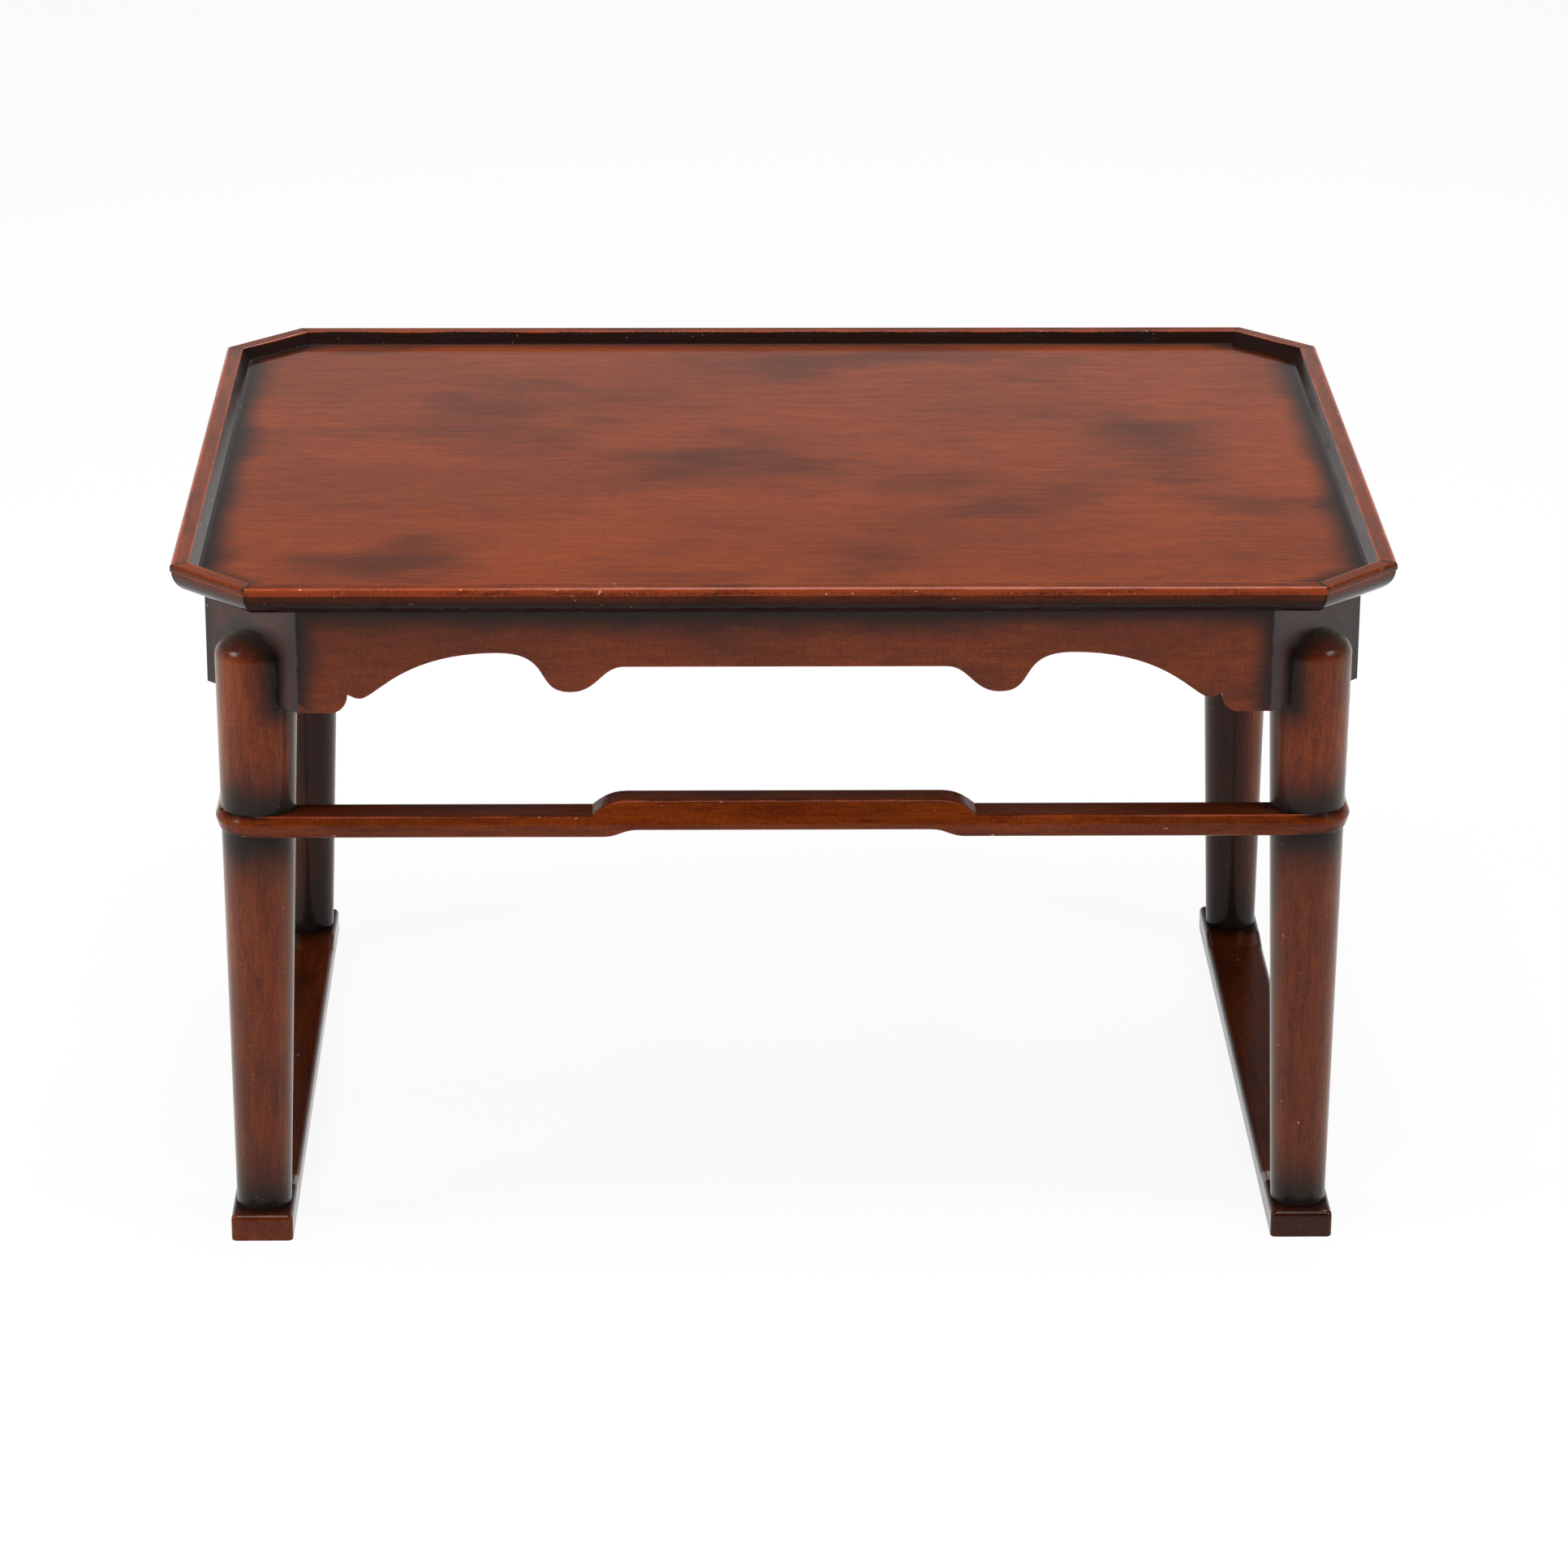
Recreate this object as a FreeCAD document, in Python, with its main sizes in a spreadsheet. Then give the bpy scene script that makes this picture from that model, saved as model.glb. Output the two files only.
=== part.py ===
import FreeCAD, Part
import Sketcher
import math
import os
from types import SimpleNamespace

# A low tray table: octagonal tray, cut apron, four turned legs, four stretchers and two foot rails.
# Millimetres, +Z up. The origin lies on the floor under the middle of the tray, and the front is -Y.

# Driving dimensions, with what each one measures
SIZES = {
    "tray_width": (455, "rim to rim, left to right"),
    "tray_depth": (344, "rim to rim, front to rear"),
    "corner_cut": (29, "length that a clipped corner takes off each side of the rim"),
    "table_height": (269, "floor to top of rim"),
    "rim_height": (12, "rim strip, top to bottom"),
    "rim_top": (6.6, "width of the rim's top"),
    "rim_lip": (2.8, "upright outer edge of the rim"),
    "rim_quirk": (0.5, "step back under the rim's lip"),
    "rim_lip_round": (1.2, "rounding of the rim's top outer edge"),
    "rim_base": (11, "rim edge to the foot of its rounded underside"),
    "rim_wall_run": (3, "slope of the rim's inner wall, measured level"),
    "recess_depth": (4.4, "top of rim to tray surface"),
    "panel_thickness": (6.5, "tray board"),
    "tongue_thickness": (3, "tongue round the tray board"),
    "tongue_length": (5, "reach of the tongue into the rim"),
    "tongue_setdown": (2, "tray surface to top of tongue"),
    "apron_thickness": (6, "apron boards"),
    "apron_corner": (36, "length that a diagonal board takes off each side of the apron"),
    "apron_height": (40, "bottom of rim to the lowest edge of the apron"),
    "apron_housing": (2, "depth that the apron is let into the tray board"),
    "fret_cusp_at": (18.5, "fold to the cusp in the front apron's lower edge"),
    "fret_cusp_rise": (7.1, "height of the cusp above the lowest edge"),
    "fret_knob_at": (23, "fold to the small lobe beside the cusp"),
    "fret_knob_rise": (5.6, "height of the small lobe"),
    "fret_arch_at": (74, "fold to the crown of the side arch"),
    "fret_arch_rise": (23.4, "height of the side arch"),
    "fret_drop_at": (101, "fold to the low lobe"),
    "fret_drop_rise": (8, "height of the low lobe"),
    "fret_middle_at": (121, "fold to the start of the straight middle"),
    "fret_middle_rise": (17.9, "height of the straight middle"),
    "leg_top_diameter": (31, "leg at its shoulder"),
    "leg_foot_diameter": (21, "leg where it stands on the rail"),
    "leg_shoulder_drop": (20.7, "bottom of rim to the shoulder under the dome"),
    "leg_shoulder_round": (7, "rounding of the shoulder into the dome"),
    "leg_dome": (6.7, "height of the dome above the shoulder"),
    "leg_splay": (3.5, "how much further out the foot of a leg stands than its top"),
    "leg_tenon_diameter": (12, "round tenon at the foot of a leg"),
    "leg_tenon_length": (6.5, "tenon's reach into the foot rail"),
    "stretcher_top": (173.6, "floor to top of stretchers"),
    "stretcher_height": (8.5, "stretchers, top to bottom"),
    "stretcher_proud": (2.2, "how far a stretcher stands out from a leg"),
    "stretcher_back": (0.4, "leg's middle to the back face of a stretcher"),
    "stretcher_seat": (1.5, "depth of the seat cut in a leg for the stretchers"),
    "stretcher_bevel_run": (1.6, "bevel under a stretcher's outer face, measured level"),
    "stretcher_bevel_rise": (5.2, "bevel under a stretcher's outer face, measured upright"),
    "stretcher_slope_run": (1.8, "slope of a stretcher's outer face above the bevel, measured level"),
    "hump_half": (65.4, "middle of the front stretcher to the middle of the hump's slope"),
    "hump_slope": (13, "length of the hump's slope"),
    "hump_top_rise": (5.3, "rise of the top in the hump"),
    "hump_under_rise": (3.1, "rise of the underside in the hump"),
    "hump_under_shift": (4, "how far the underside's slope lies nearer the middle"),
    "rail_length": (316, "foot rails, front to rear"),
    "rail_width": (23.6, "foot rails, side to side"),
    "rail_pad_height": (10.5, "foot rail under a leg"),
    "rail_middle_height": (8.4, "foot rail between the pads"),
    "rail_pad_reach": (13, "middle of a leg to the inner end of its pad"),
    "rail_pad_slope": (13, "length of the slope from the pad to the lower middle"),
    "rail_edge_round": (2, "rounding of the foot rails' long upper edges"),
    "rail_end_round": (2.4, "rounding of the foot rails' upper end edges"),
    "leg_pin_diameter": (3.4, "bamboo pin through a leg top"),
    "leg_pin_rise": (9, "slot floor to the middle of the pin"),
    "leg_pin_cover": (4, "wood left outside the leg pin"),
    "stretcher_pin_diameter": (2.2, "bamboo pin from a stretcher into a leg"),
    "stretcher_pin_length": (8.5, "bamboo pin from a stretcher into a leg"),
    "rim_pin_diameter": (1.8, "bamboo pin through the rim into the tray's tongue"),
    "rim_pin_length": (5.4, "bamboo pin through the rim into the tray's tongue"),
    "rim_pin_inset": (8.2, "rim edge to the pins"),
    "rim_pin_spacing": (150, "distance between neighbouring rim pins"),
    "pin_cover": (1.2, "filling over the outer end of a sunk pin"),
    "joint_gap": (0.05, "room for glue in a slot, groove, mortise or pin hole"),
}

# A corner turns by an eighth of a circle, and a mitre halves that turn
CORNER_TURN = 45
HALF_MITRE = math.tan(math.radians(CORNER_TURN / 2))
ROOT_HALF = math.sqrt(0.5)
# Length of a curve's handle that makes a quarter round, as a share of its tangent
ROUND_HANDLE = 0.5523
# How long each stretch of the cut edge stays level at its start and end, as shares of its run
KNOB_SWAY = (0.2, 0.5)
ARCH_SWAY = (0.12, 0.70)
DROP_SWAY = (0.79, 0.52)
MIDDLE_SWAY = (0.51, 0.44)
# The hump's upper edge: how far its steep start goes, as shares of run and rise, and how long its crest is
HUMP_LIFT_RUN = 0.3
HUMP_LIFT_RISE = 0.62
HUMP_CREST_SHARE = 0.45
# The hump's lower edge is soft at both ends
HUMP_SWAY = (0.45, 0.45)
# Stock that a later cut takes off again, as a share of the finished length
STOCK_SHARE = 1.1
# Lengths below this count as none
TINY = 1e-6
UP = FreeCAD.Vector(0, 0, 1)
ACROSS = FreeCAD.Vector(1, 0, 0)
MIDDLE = FreeCAD.Vector(0, 0, 0)

doc = FreeCAD.newDocument("low_tray_table")
sheet = doc.addObject("Spreadsheet::Sheet", "sheet")
for row, (alias, (value, meaning)) in enumerate(SIZES.items(), start=1):
    sheet.set(f"A{row}", meaning)
    sheet.set(f"B{row}", str(value))
    sheet.setAlias(f"B{row}", alias)
doc.recompute()


class Size:
    """A length that knows its number and the sheet expression that gives it."""

    def __init__(self, number, text):
        self.number = number
        self.text = text

    def joined(self, sign, other, number):
        other_text = other.text if isinstance(other, Size) else repr(other)
        return Size(number, f"({self.text} {sign} {other_text})")

    def __add__(self, other):
        return self.joined("+", other, self.number + float(other))

    def __sub__(self, other):
        return self.joined("-", other, self.number - float(other))

    def __mul__(self, other):
        return self.joined("*", other, self.number * float(other))

    def __truediv__(self, other):
        return self.joined("/", other, self.number / float(other))

    def __neg__(self):
        return self * -1.0

    def __float__(self):
        return float(self.number)


NOTHING = Size(0.0, "0")

d = SimpleNamespace(**{alias: Size(float(sheet.get(alias)), f"sheet.{alias}") for alias in SIZES})

# Levels and half sizes that several pieces share
half_width = d.tray_width / 2
half_depth = d.tray_depth / 2
rim_bottom = d.table_height - d.rim_height
panel_top = d.table_height - d.recess_depth
panel_under = panel_top - d.panel_thickness
tongue_top = panel_top - d.tongue_setdown
tongue_under = tongue_top - d.tongue_thickness
apron_top = panel_under + d.apron_housing
apron_bottom = rim_bottom - d.apron_height
apron_half_width = half_width - d.rim_base
apron_half_depth = half_depth - d.rim_base
stretcher_under = d.stretcher_top - d.stretcher_height
stretcher_middle = d.stretcher_top - d.stretcher_height / 2

# A leg's axis runs from the middle of its diagonal apron board, at tray height, to its foot on the rail
slot_width = d.apron_thickness + d.joint_gap * 2
board_setback = d.apron_thickness * (ROOT_HALF / 2)
leg_head_x = apron_half_width - d.apron_corner / 2 - board_setback
leg_head_y = apron_half_depth - d.apron_corner / 2 - board_setback
leg_length = panel_under - d.rail_pad_height
leg_foot_x = leg_head_x + d.leg_splay
leg_lean = math.degrees(math.atan2(float(d.leg_splay), float(leg_length)))
leg_shoulder = rim_bottom - d.leg_shoulder_drop
leg_taper = (d.leg_top_diameter - d.leg_foot_diameter) / (leg_shoulder - d.rail_pad_height)


def leg_radius(height):
    """Radius of a leg at a height above the floor."""
    return (d.leg_foot_diameter + leg_taper * (height - d.rail_pad_height)) / 2


def leg_axis_x(height):
    """Distance of a leg's axis from the table's middle at a height above the floor."""
    return leg_foot_x - d.leg_splay * ((height - d.rail_pad_height) / leg_length)


stretcher_leg_x = leg_axis_x(stretcher_middle)
stretcher_leg_y = leg_head_y
seat_radius = leg_radius(stretcher_middle) - d.stretcher_seat
stretcher_round = leg_radius(stretcher_middle) + d.stretcher_proud

CORNERS = {
    "front_left": (-1, -1),
    "front_right": (1, -1),
    "rear_left": (-1, 1),
    "rear_right": (1, 1),
}
nodes = []


def keep(item, label):
    """Names a finished sub-part and puts it on the list of pieces to write."""
    item.Label = label
    nodes.append(item)
    return item


def vector(x, y, z=0.0):
    return FreeCAD.Vector(float(x), float(y), float(z))


def turned(angle, x=0.0, y=0.0, z=0.0):
    """A place turned about the upright axis."""
    return FreeCAD.Placement(vector(x, y, z), FreeCAD.Rotation(UP, angle))


def bind(item, **sizes):
    for name, value in sizes.items():
        item.setExpression(name, value.text)


def primitive(kind, name, placement, **sizes):
    """A Part primitive whose sizes follow the sheet."""
    item = doc.addObject(f"Part::{kind}", name)
    bind(item, **sizes)
    item.Placement = placement
    return item


def boolean(kind, name, base, tool):
    item = doc.addObject(f"Part::{kind}", name)
    item.Base = base
    item.Tool = tool
    return item


def compound(name, items):
    item = doc.addObject("Part::Compound", name)
    item.Links = items
    return item


def mirrored(edges):
    """The same edges on the other side of the upright middle plane."""
    return [edge.mirror(MIDDLE, ACROSS) for edge in edges]


def solid(name, shape, placement):
    """A sub-part whose shape comes from drawn outlines."""
    item = doc.addObject("Part::Feature", name)
    item.Shape = shape
    item.Placement = placement
    return item


# Outlines drawn with lines and curves

def line(start, end):
    return Part.makeLine(start, end)


def curve(*poles):
    bezier = Part.BezierCurve()
    bezier.setPoles(list(poles))
    return bezier.toShape()


def quarter_round(start, corner, end):
    """A quarter of an ellipse from start to end, with its tangents meeting in the corner."""
    first = start + (corner - start) * ROUND_HANDLE
    second = end + (corner - end) * ROUND_HANDLE
    return curve(start, first, second, end)


def sway(start, end, lead, trail):
    """A curve along X that leaves and arrives level; lead and trail are shares of its run."""
    run = FreeCAD.Vector(end.x - start.x, 0, 0)
    return curve(start, start + run * lead, end - run * trail, end)


def face(edges):
    return Part.Face(Part.Wire(Part.sortEdges(edges)[0]))


def mitred_plan(half_length, width):
    """Plan of a strip along X whose outer edge is on the X axis and whose ends are mitred."""
    inner = half_length - width * HALF_MITRE
    corners = [
        vector(-half_length, 0),
        vector(half_length, 0),
        vector(inner, width),
        vector(-inner, width),
    ]
    return Part.Face(Part.makePolygon(corners + corners[:1]))


def octagon_sides(half_x, half_y, cut):
    """Each side of an octagon as name, middle of the outer edge, turn and half length."""
    straight = {
        "front": (0.0, -half_y, 0, half_x - cut),
        "right": (half_x, 0.0, 90, half_y - cut),
        "rear": (0.0, half_y, 180, half_x - cut),
        "left": (-half_x, 0.0, 270, half_y - cut),
    }
    turns = {"front_right": 45, "rear_right": 135, "rear_left": 225, "front_left": 315}
    diagonal = {}
    for name, (side_x, side_y) in CORNERS.items():
        middle_x = (half_x - cut / 2) * side_x
        middle_y = (half_y - cut / 2) * side_y
        diagonal[f"corner_{name}"] = (middle_x, middle_y, turns[name], cut * ROOT_HALF)
    return {**straight, **diagonal}


# Sketches whose corners follow the sheet

def hold(sketch, kind, line_index, size):
    """Ties one coordinate of a line's start to the sheet."""
    number = float(size)
    if abs(number) < TINY:
        axis = -2 if kind == "DistanceX" else -1
        sketch.addConstraint(Sketcher.Constraint("PointOnObject", line_index, 1, axis))
        return
    if number > 0:
        constraint = Sketcher.Constraint(kind, -1, 1, line_index, 1, number)
    else:
        constraint = Sketcher.Constraint(kind, line_index, 1, -1, 1, -number)
    index = sketch.addConstraint(constraint)
    sketch.setExpression(f"Constraints[{index}]", size.text if number > 0 else (-size).text)


def new_sketch(body, name, plane):
    sketch = body.newObject("Sketcher::SketchObject", name)
    support = [item for item in body.Origin.OriginFeatures if item.Role == plane]
    sketch.AttachmentSupport = [(support[0], "")]
    sketch.MapMode = "FlatFace"
    return sketch


def draw_polygon(sketch, corners):
    """Adds a closed polygon, each corner given as two sizes."""
    first = sketch.GeometryCount
    points = [vector(x, y) for x, y in corners]
    for start, end in zip(points, points[1:] + points[:1]):
        sketch.addGeometry(Part.LineSegment(start, end))
    count = len(corners)
    for step in range(count):
        following = first + (step + 1) % count
        sketch.addConstraint(Sketcher.Constraint("Coincident", first + step, 2, following, 1))
    for step, (x, y) in enumerate(corners):
        hold(sketch, "DistanceX", first + step, x)
        hold(sketch, "DistanceY", first + step, y)


def octagon(half_x, half_y, cut):
    """The corners of an octagon with clipped corners."""
    return [
        (half_x - cut, -half_y),
        (half_x, cut - half_y),
        (half_x, half_y - cut),
        (half_x - cut, half_y),
        (cut - half_x, half_y),
        (-half_x, half_y - cut),
        (-half_x, cut - half_y),
        (cut - half_x, -half_y),
    ]


def inset(half_x, half_y, cut, amount):
    """An octagon's half sizes and corner cut after all its sides move in alike."""
    return half_x - amount, half_y - amount, cut - amount * (1 - HALF_MITRE)


def pad(body, name, sketch, length, offset):
    """Raises a level sketch by length, starting at a height above the floor."""
    sketch.setExpression("AttachmentOffset.Base.z", offset.text)
    feature = body.newObject("PartDesign::Pad", name)
    feature.Profile = sketch
    bind(feature, Length=length)
    return feature


def edge_names(shape, wanted):
    return [f"Edge{number}" for number, edge in enumerate(shape.Edges, start=1) if wanted(edge)]


def rounded(body, name, base, wanted, radius):
    """Rounds the edges of a body's last feature that pass a test."""
    doc.recompute()
    feature = body.newObject("PartDesign::Fillet", name)
    feature.Base = (base, edge_names(base.Shape, wanted))
    bind(feature, Radius=radius)
    return feature


# Tray board: body, tongue all round, and grooves underneath for the apron

def make_tray_panel():
    body = doc.addObject("PartDesign::Body", "tray_body")
    edge = inset(half_width, half_depth, d.corner_cut, d.rim_base)
    board = new_sketch(body, "tray_outline", "XY_Plane")
    draw_polygon(board, octagon(*edge))
    pad(body, "tray_board", board, d.panel_thickness, panel_under)

    reach = inset(half_width, half_depth, d.corner_cut, d.rim_base - d.tongue_length)
    tongue = new_sketch(body, "tongue_outline", "XY_Plane")
    draw_polygon(tongue, octagon(*reach))
    pad(body, "tray_tongue", tongue, d.tongue_thickness, tongue_under)

    outer = (apron_half_width, apron_half_depth, d.apron_corner)
    groove = new_sketch(body, "apron_groove_outline", "XY_Plane")
    draw_polygon(groove, octagon(*outer))
    draw_polygon(groove, octagon(*inset(*outer, d.apron_thickness + d.joint_gap)))
    groove.setExpression("AttachmentOffset.Base.z", panel_under.text)
    pocket = body.newObject("PartDesign::Pocket", "apron_groove")
    pocket.Profile = groove
    bind(pocket, Length=d.apron_housing)
    pocket.Reversed = True
    doc.recompute()
    return body


# Rim strips: one moulded section, mitred at both ends

def rim_section():
    top = float(d.table_height)
    lip_under = top - float(d.rim_lip)
    lip_round = float(d.rim_lip_round)
    base = float(d.rim_base)
    groove_end = base - float(d.tongue_length) - float(d.joint_gap)
    groove_floor = float(tongue_under) - float(d.joint_gap)
    groove_roof = float(tongue_top) + float(d.joint_gap)

    def at(inward, height):
        return FreeCAD.Vector(0, inward, height)

    straight = [
        at(base, float(rim_bottom)),
        at(base, groove_floor),
        at(groove_end, groove_floor),
        at(groove_end, groove_roof),
        at(base, groove_roof),
        at(base, float(panel_top)),
        at(float(d.rim_top) + float(d.rim_wall_run), float(panel_top)),
        at(float(d.rim_top), top),
        at(lip_round, top),
    ]
    edges = [line(start, end) for start, end in zip(straight, straight[1:])]
    edges.append(quarter_round(at(lip_round, top), at(0, top), at(0, top - lip_round)))
    quirk = float(d.rim_quirk)
    edges.append(line(at(0, top - lip_round), at(0, lip_under)))
    edges.append(line(at(0, lip_under), at(quirk, lip_under)))
    edges.append(quarter_round(at(quirk, lip_under), at(quirk, float(rim_bottom)), straight[0]))
    return face(edges)


def make_rim():
    section = rim_section()
    strips = {}
    for name, (x, y, turn, half_length) in octagon_sides(half_width, half_depth, d.corner_cut).items():
        length = 2 * float(half_length)
        stock = section.extrude(FreeCAD.Vector(length, 0, 0))
        stock.translate(FreeCAD.Vector(-length / 2, 0, 0))
        ends = mitred_plan(half_length, d.rim_base).extrude(UP * float(d.table_height))
        strips[name] = solid(f"rim_stock_{name}", stock.common(ends), turned(turn, x, y))
    return strips


# Apron: cut boards on the straight sides, plain boards across the corners

def fret_outline(half_length):
    """Outline of a long apron board; the shares of its lower edge follow the front board's."""
    scale = float(half_length) / float(apron_half_width - d.apron_corner)
    low = float(apron_bottom)
    high = float(apron_top)

    def at(from_fold, rise):
        return FreeCAD.Vector(-float(half_length) + float(from_fold) * scale, 0, low + float(rise))

    fold = at(0, 0)
    cusp = at(d.fret_cusp_at, d.fret_cusp_rise)
    lobe_end = FreeCAD.Vector((fold.x + 2 * cusp.x) / 3, 0, low)
    knob = at(d.fret_knob_at, d.fret_knob_rise)
    arch = at(d.fret_arch_at, d.fret_arch_rise)
    drop = at(d.fret_drop_at, d.fret_drop_rise)
    middle = at(d.fret_middle_at, d.fret_middle_rise)
    left = [
        line(fold, lobe_end),
        quarter_round(lobe_end, FreeCAD.Vector(cusp.x, 0, low), cusp),
        sway(cusp, knob, *KNOB_SWAY),
        sway(knob, arch, *ARCH_SWAY),
        sway(arch, drop, *DROP_SWAY),
        sway(drop, middle, *MIDDLE_SWAY),
    ]
    corner = FreeCAD.Vector(float(half_length), 0, high)
    far_corner = FreeCAD.Vector(-float(half_length), 0, high)
    closing = [
        line(middle, FreeCAD.Vector(-middle.x, 0, middle.z)),
        line(FreeCAD.Vector(-fold.x, 0, low), corner),
        line(corner, far_corner),
        line(far_corner, fold),
    ]
    return face(left + mirrored(left) + closing)


def make_apron():
    boards = {}
    sides = octagon_sides(apron_half_width, apron_half_depth, d.apron_corner)
    for name, (x, y, turn, half_length) in sides.items():
        plan = mitred_plan(half_length, d.apron_thickness)
        plan.translate(UP * float(apron_bottom))
        board = plan.extrude(UP * float(apron_top - apron_bottom))
        if not name.startswith("corner"):
            outline = fret_outline(half_length)
            board = board.common(outline.extrude(FreeCAD.Vector(0, float(d.apron_thickness), 0)))
        boards[name] = solid(f"apron_stock_{name}", board, turned(turn, x, y))
    return boards


# Stretchers: bars that wrap the outer half of two legs and end in a mitre

def stretcher_plan(half_length):
    """Plan of a bar between two legs on the X axis, with its outer side towards -Y."""
    span = float(half_length)
    outer = float(stretcher_round)
    back = float(d.stretcher_back)
    turn = outer * ROOT_HALF
    bulge = math.radians(CORNER_TURN * 3 / 2)
    tip = vector(span + turn, -turn)
    tip_middle = vector(span + outer * math.cos(bulge), -outer * math.sin(bulge))
    shoulder = vector(span, -outer)
    heel = vector(span + back, -back)
    right = [line(heel, tip), Part.Arc(tip, tip_middle, shoulder).toShape()]
    outer_edge = line(shoulder, vector(-span, -outer))
    back_edge = line(heel, vector(-span - back, -back))
    return face(right + mirrored(right) + [outer_edge, back_edge])


def hump_outline(half_length):
    """Front outline of a bar that rises in its middle."""
    reach = float(half_length) + 2 * float(stretcher_round)
    top = float(d.stretcher_top)
    under = float(stretcher_under)
    slope = float(d.hump_slope)
    top_foot = -float(d.hump_half) - slope / 2
    under_foot = top_foot + float(d.hump_under_shift)
    crest = top + float(d.hump_top_rise)
    hollow = under + float(d.hump_under_rise)

    def at(x, z):
        return FreeCAD.Vector(x, 0, z)

    rise_start = at(top_foot, top)
    rise_end = at(top_foot + slope, crest)
    dip_start = at(under_foot, under)
    dip_end = at(under_foot + slope, hollow)
    lift = at(top_foot + slope * HUMP_LIFT_RUN, top + (crest - top) * HUMP_LIFT_RISE)
    crest_start = at(rise_end.x - slope * HUMP_CREST_SHARE, crest)
    left = [
        line(at(-reach, top), rise_start),
        curve(rise_start, lift, crest_start, rise_end),
        line(at(-reach, under), dip_start),
        sway(dip_start, dip_end, *HUMP_SWAY),
        line(at(-reach, under), at(-reach, top)),
    ]
    closing = [
        line(rise_end, at(-rise_end.x, crest)),
        line(dip_end, at(-dip_end.x, hollow)),
    ]
    return face(left + mirrored(left) + closing)


def stretcher_waste():
    """Sections of the wood planed off a bar's outer side: the bevel below and the slope above."""
    outer = -float(stretcher_round)
    low = float(stretcher_under)
    ridge = low + float(d.stretcher_bevel_rise)
    slope = float(d.stretcher_slope_run / (d.stretcher_height - d.stretcher_bevel_rise))
    high = float(d.stretcher_top + d.hump_top_rise)
    bevel = [vector(0, outer, low), vector(0, outer + float(d.stretcher_bevel_run), low)]
    rake = [vector(0, outer + slope * (high - ridge), high), vector(0, outer, high)]
    tip = vector(0, outer, ridge)
    return [Part.Face(Part.makePolygon([tip, *corners, tip])) for corners in (bevel, rake)]


def make_stretcher(half_length, humped):
    span = float(half_length)
    outer = float(stretcher_round)
    under = float(stretcher_under)
    plan = stretcher_plan(half_length)
    plan.translate(UP * under)
    height = d.stretcher_height + d.hump_top_rise if humped else d.stretcher_height
    bar = plan.extrude(UP * float(height))
    if humped:
        bar = bar.common(hump_outline(half_length).extrude(vector(0, -2 * outer)))
    for waste in stretcher_waste():
        bar = bar.cut(waste.translated(vector(-span, 0)).extrude(vector(2 * span, 0)))
        for side in (-1, 1):
            leg_middle = vector(side * span, 0)
            bar = bar.cut(waste.translated(leg_middle).revolve(leg_middle, UP, side * CORNER_TURN))
    for side in (-1, 1):
        seat = Part.makeCylinder(
            float(seat_radius + d.joint_gap),
            float(d.table_height),
            vector(side * span, 0),
        )
        bar = bar.cut(seat)
    return bar


def make_stretchers():
    x = float(stretcher_leg_x)
    y = float(stretcher_leg_y)
    long_bar = make_stretcher(stretcher_leg_x, True)
    side_bar = make_stretcher(stretcher_leg_y, False)
    return {
        "front": solid("stretcher_stock_front", long_bar, turned(0, 0, -y)),
        "right": solid("stretcher_stock_right", side_bar, turned(90, x, 0)),
        "rear": solid("stretcher_stock_rear", long_bar, turned(180, 0, y)),
        "left": solid("stretcher_stock_left", side_bar, turned(270, -x, 0)),
    }


# Legs: turned and tapering, slotted over the diagonal apron board, seated in the foot rail

def leg_place(side_x, side_y, height):
    """A place on a leg's axis at a height above the floor, leaning as the leg does."""
    x = side_x * float(leg_axis_x(height))
    y = side_y * float(leg_head_y)
    lean = FreeCAD.Rotation(FreeCAD.Vector(0, 1, 0), -side_x * leg_lean)
    return FreeCAD.Placement(vector(x, y, height), lean)


def diagonal_turn(side_x, side_y):
    """Turn that brings +X onto the outward diagonal of a corner."""
    return math.degrees(math.atan2(side_y, side_x))


def head_place(side_x, side_y, outward, height):
    """A place by a leg's head, turned with X along the outward diagonal, Y centred on the leg."""
    x = side_x * (float(leg_head_x) + outward * ROOT_HALF)
    y = side_y * (float(leg_head_y) + outward * ROOT_HALF)
    return turned(diagonal_turn(side_x, side_y), x, y, height)


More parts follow.
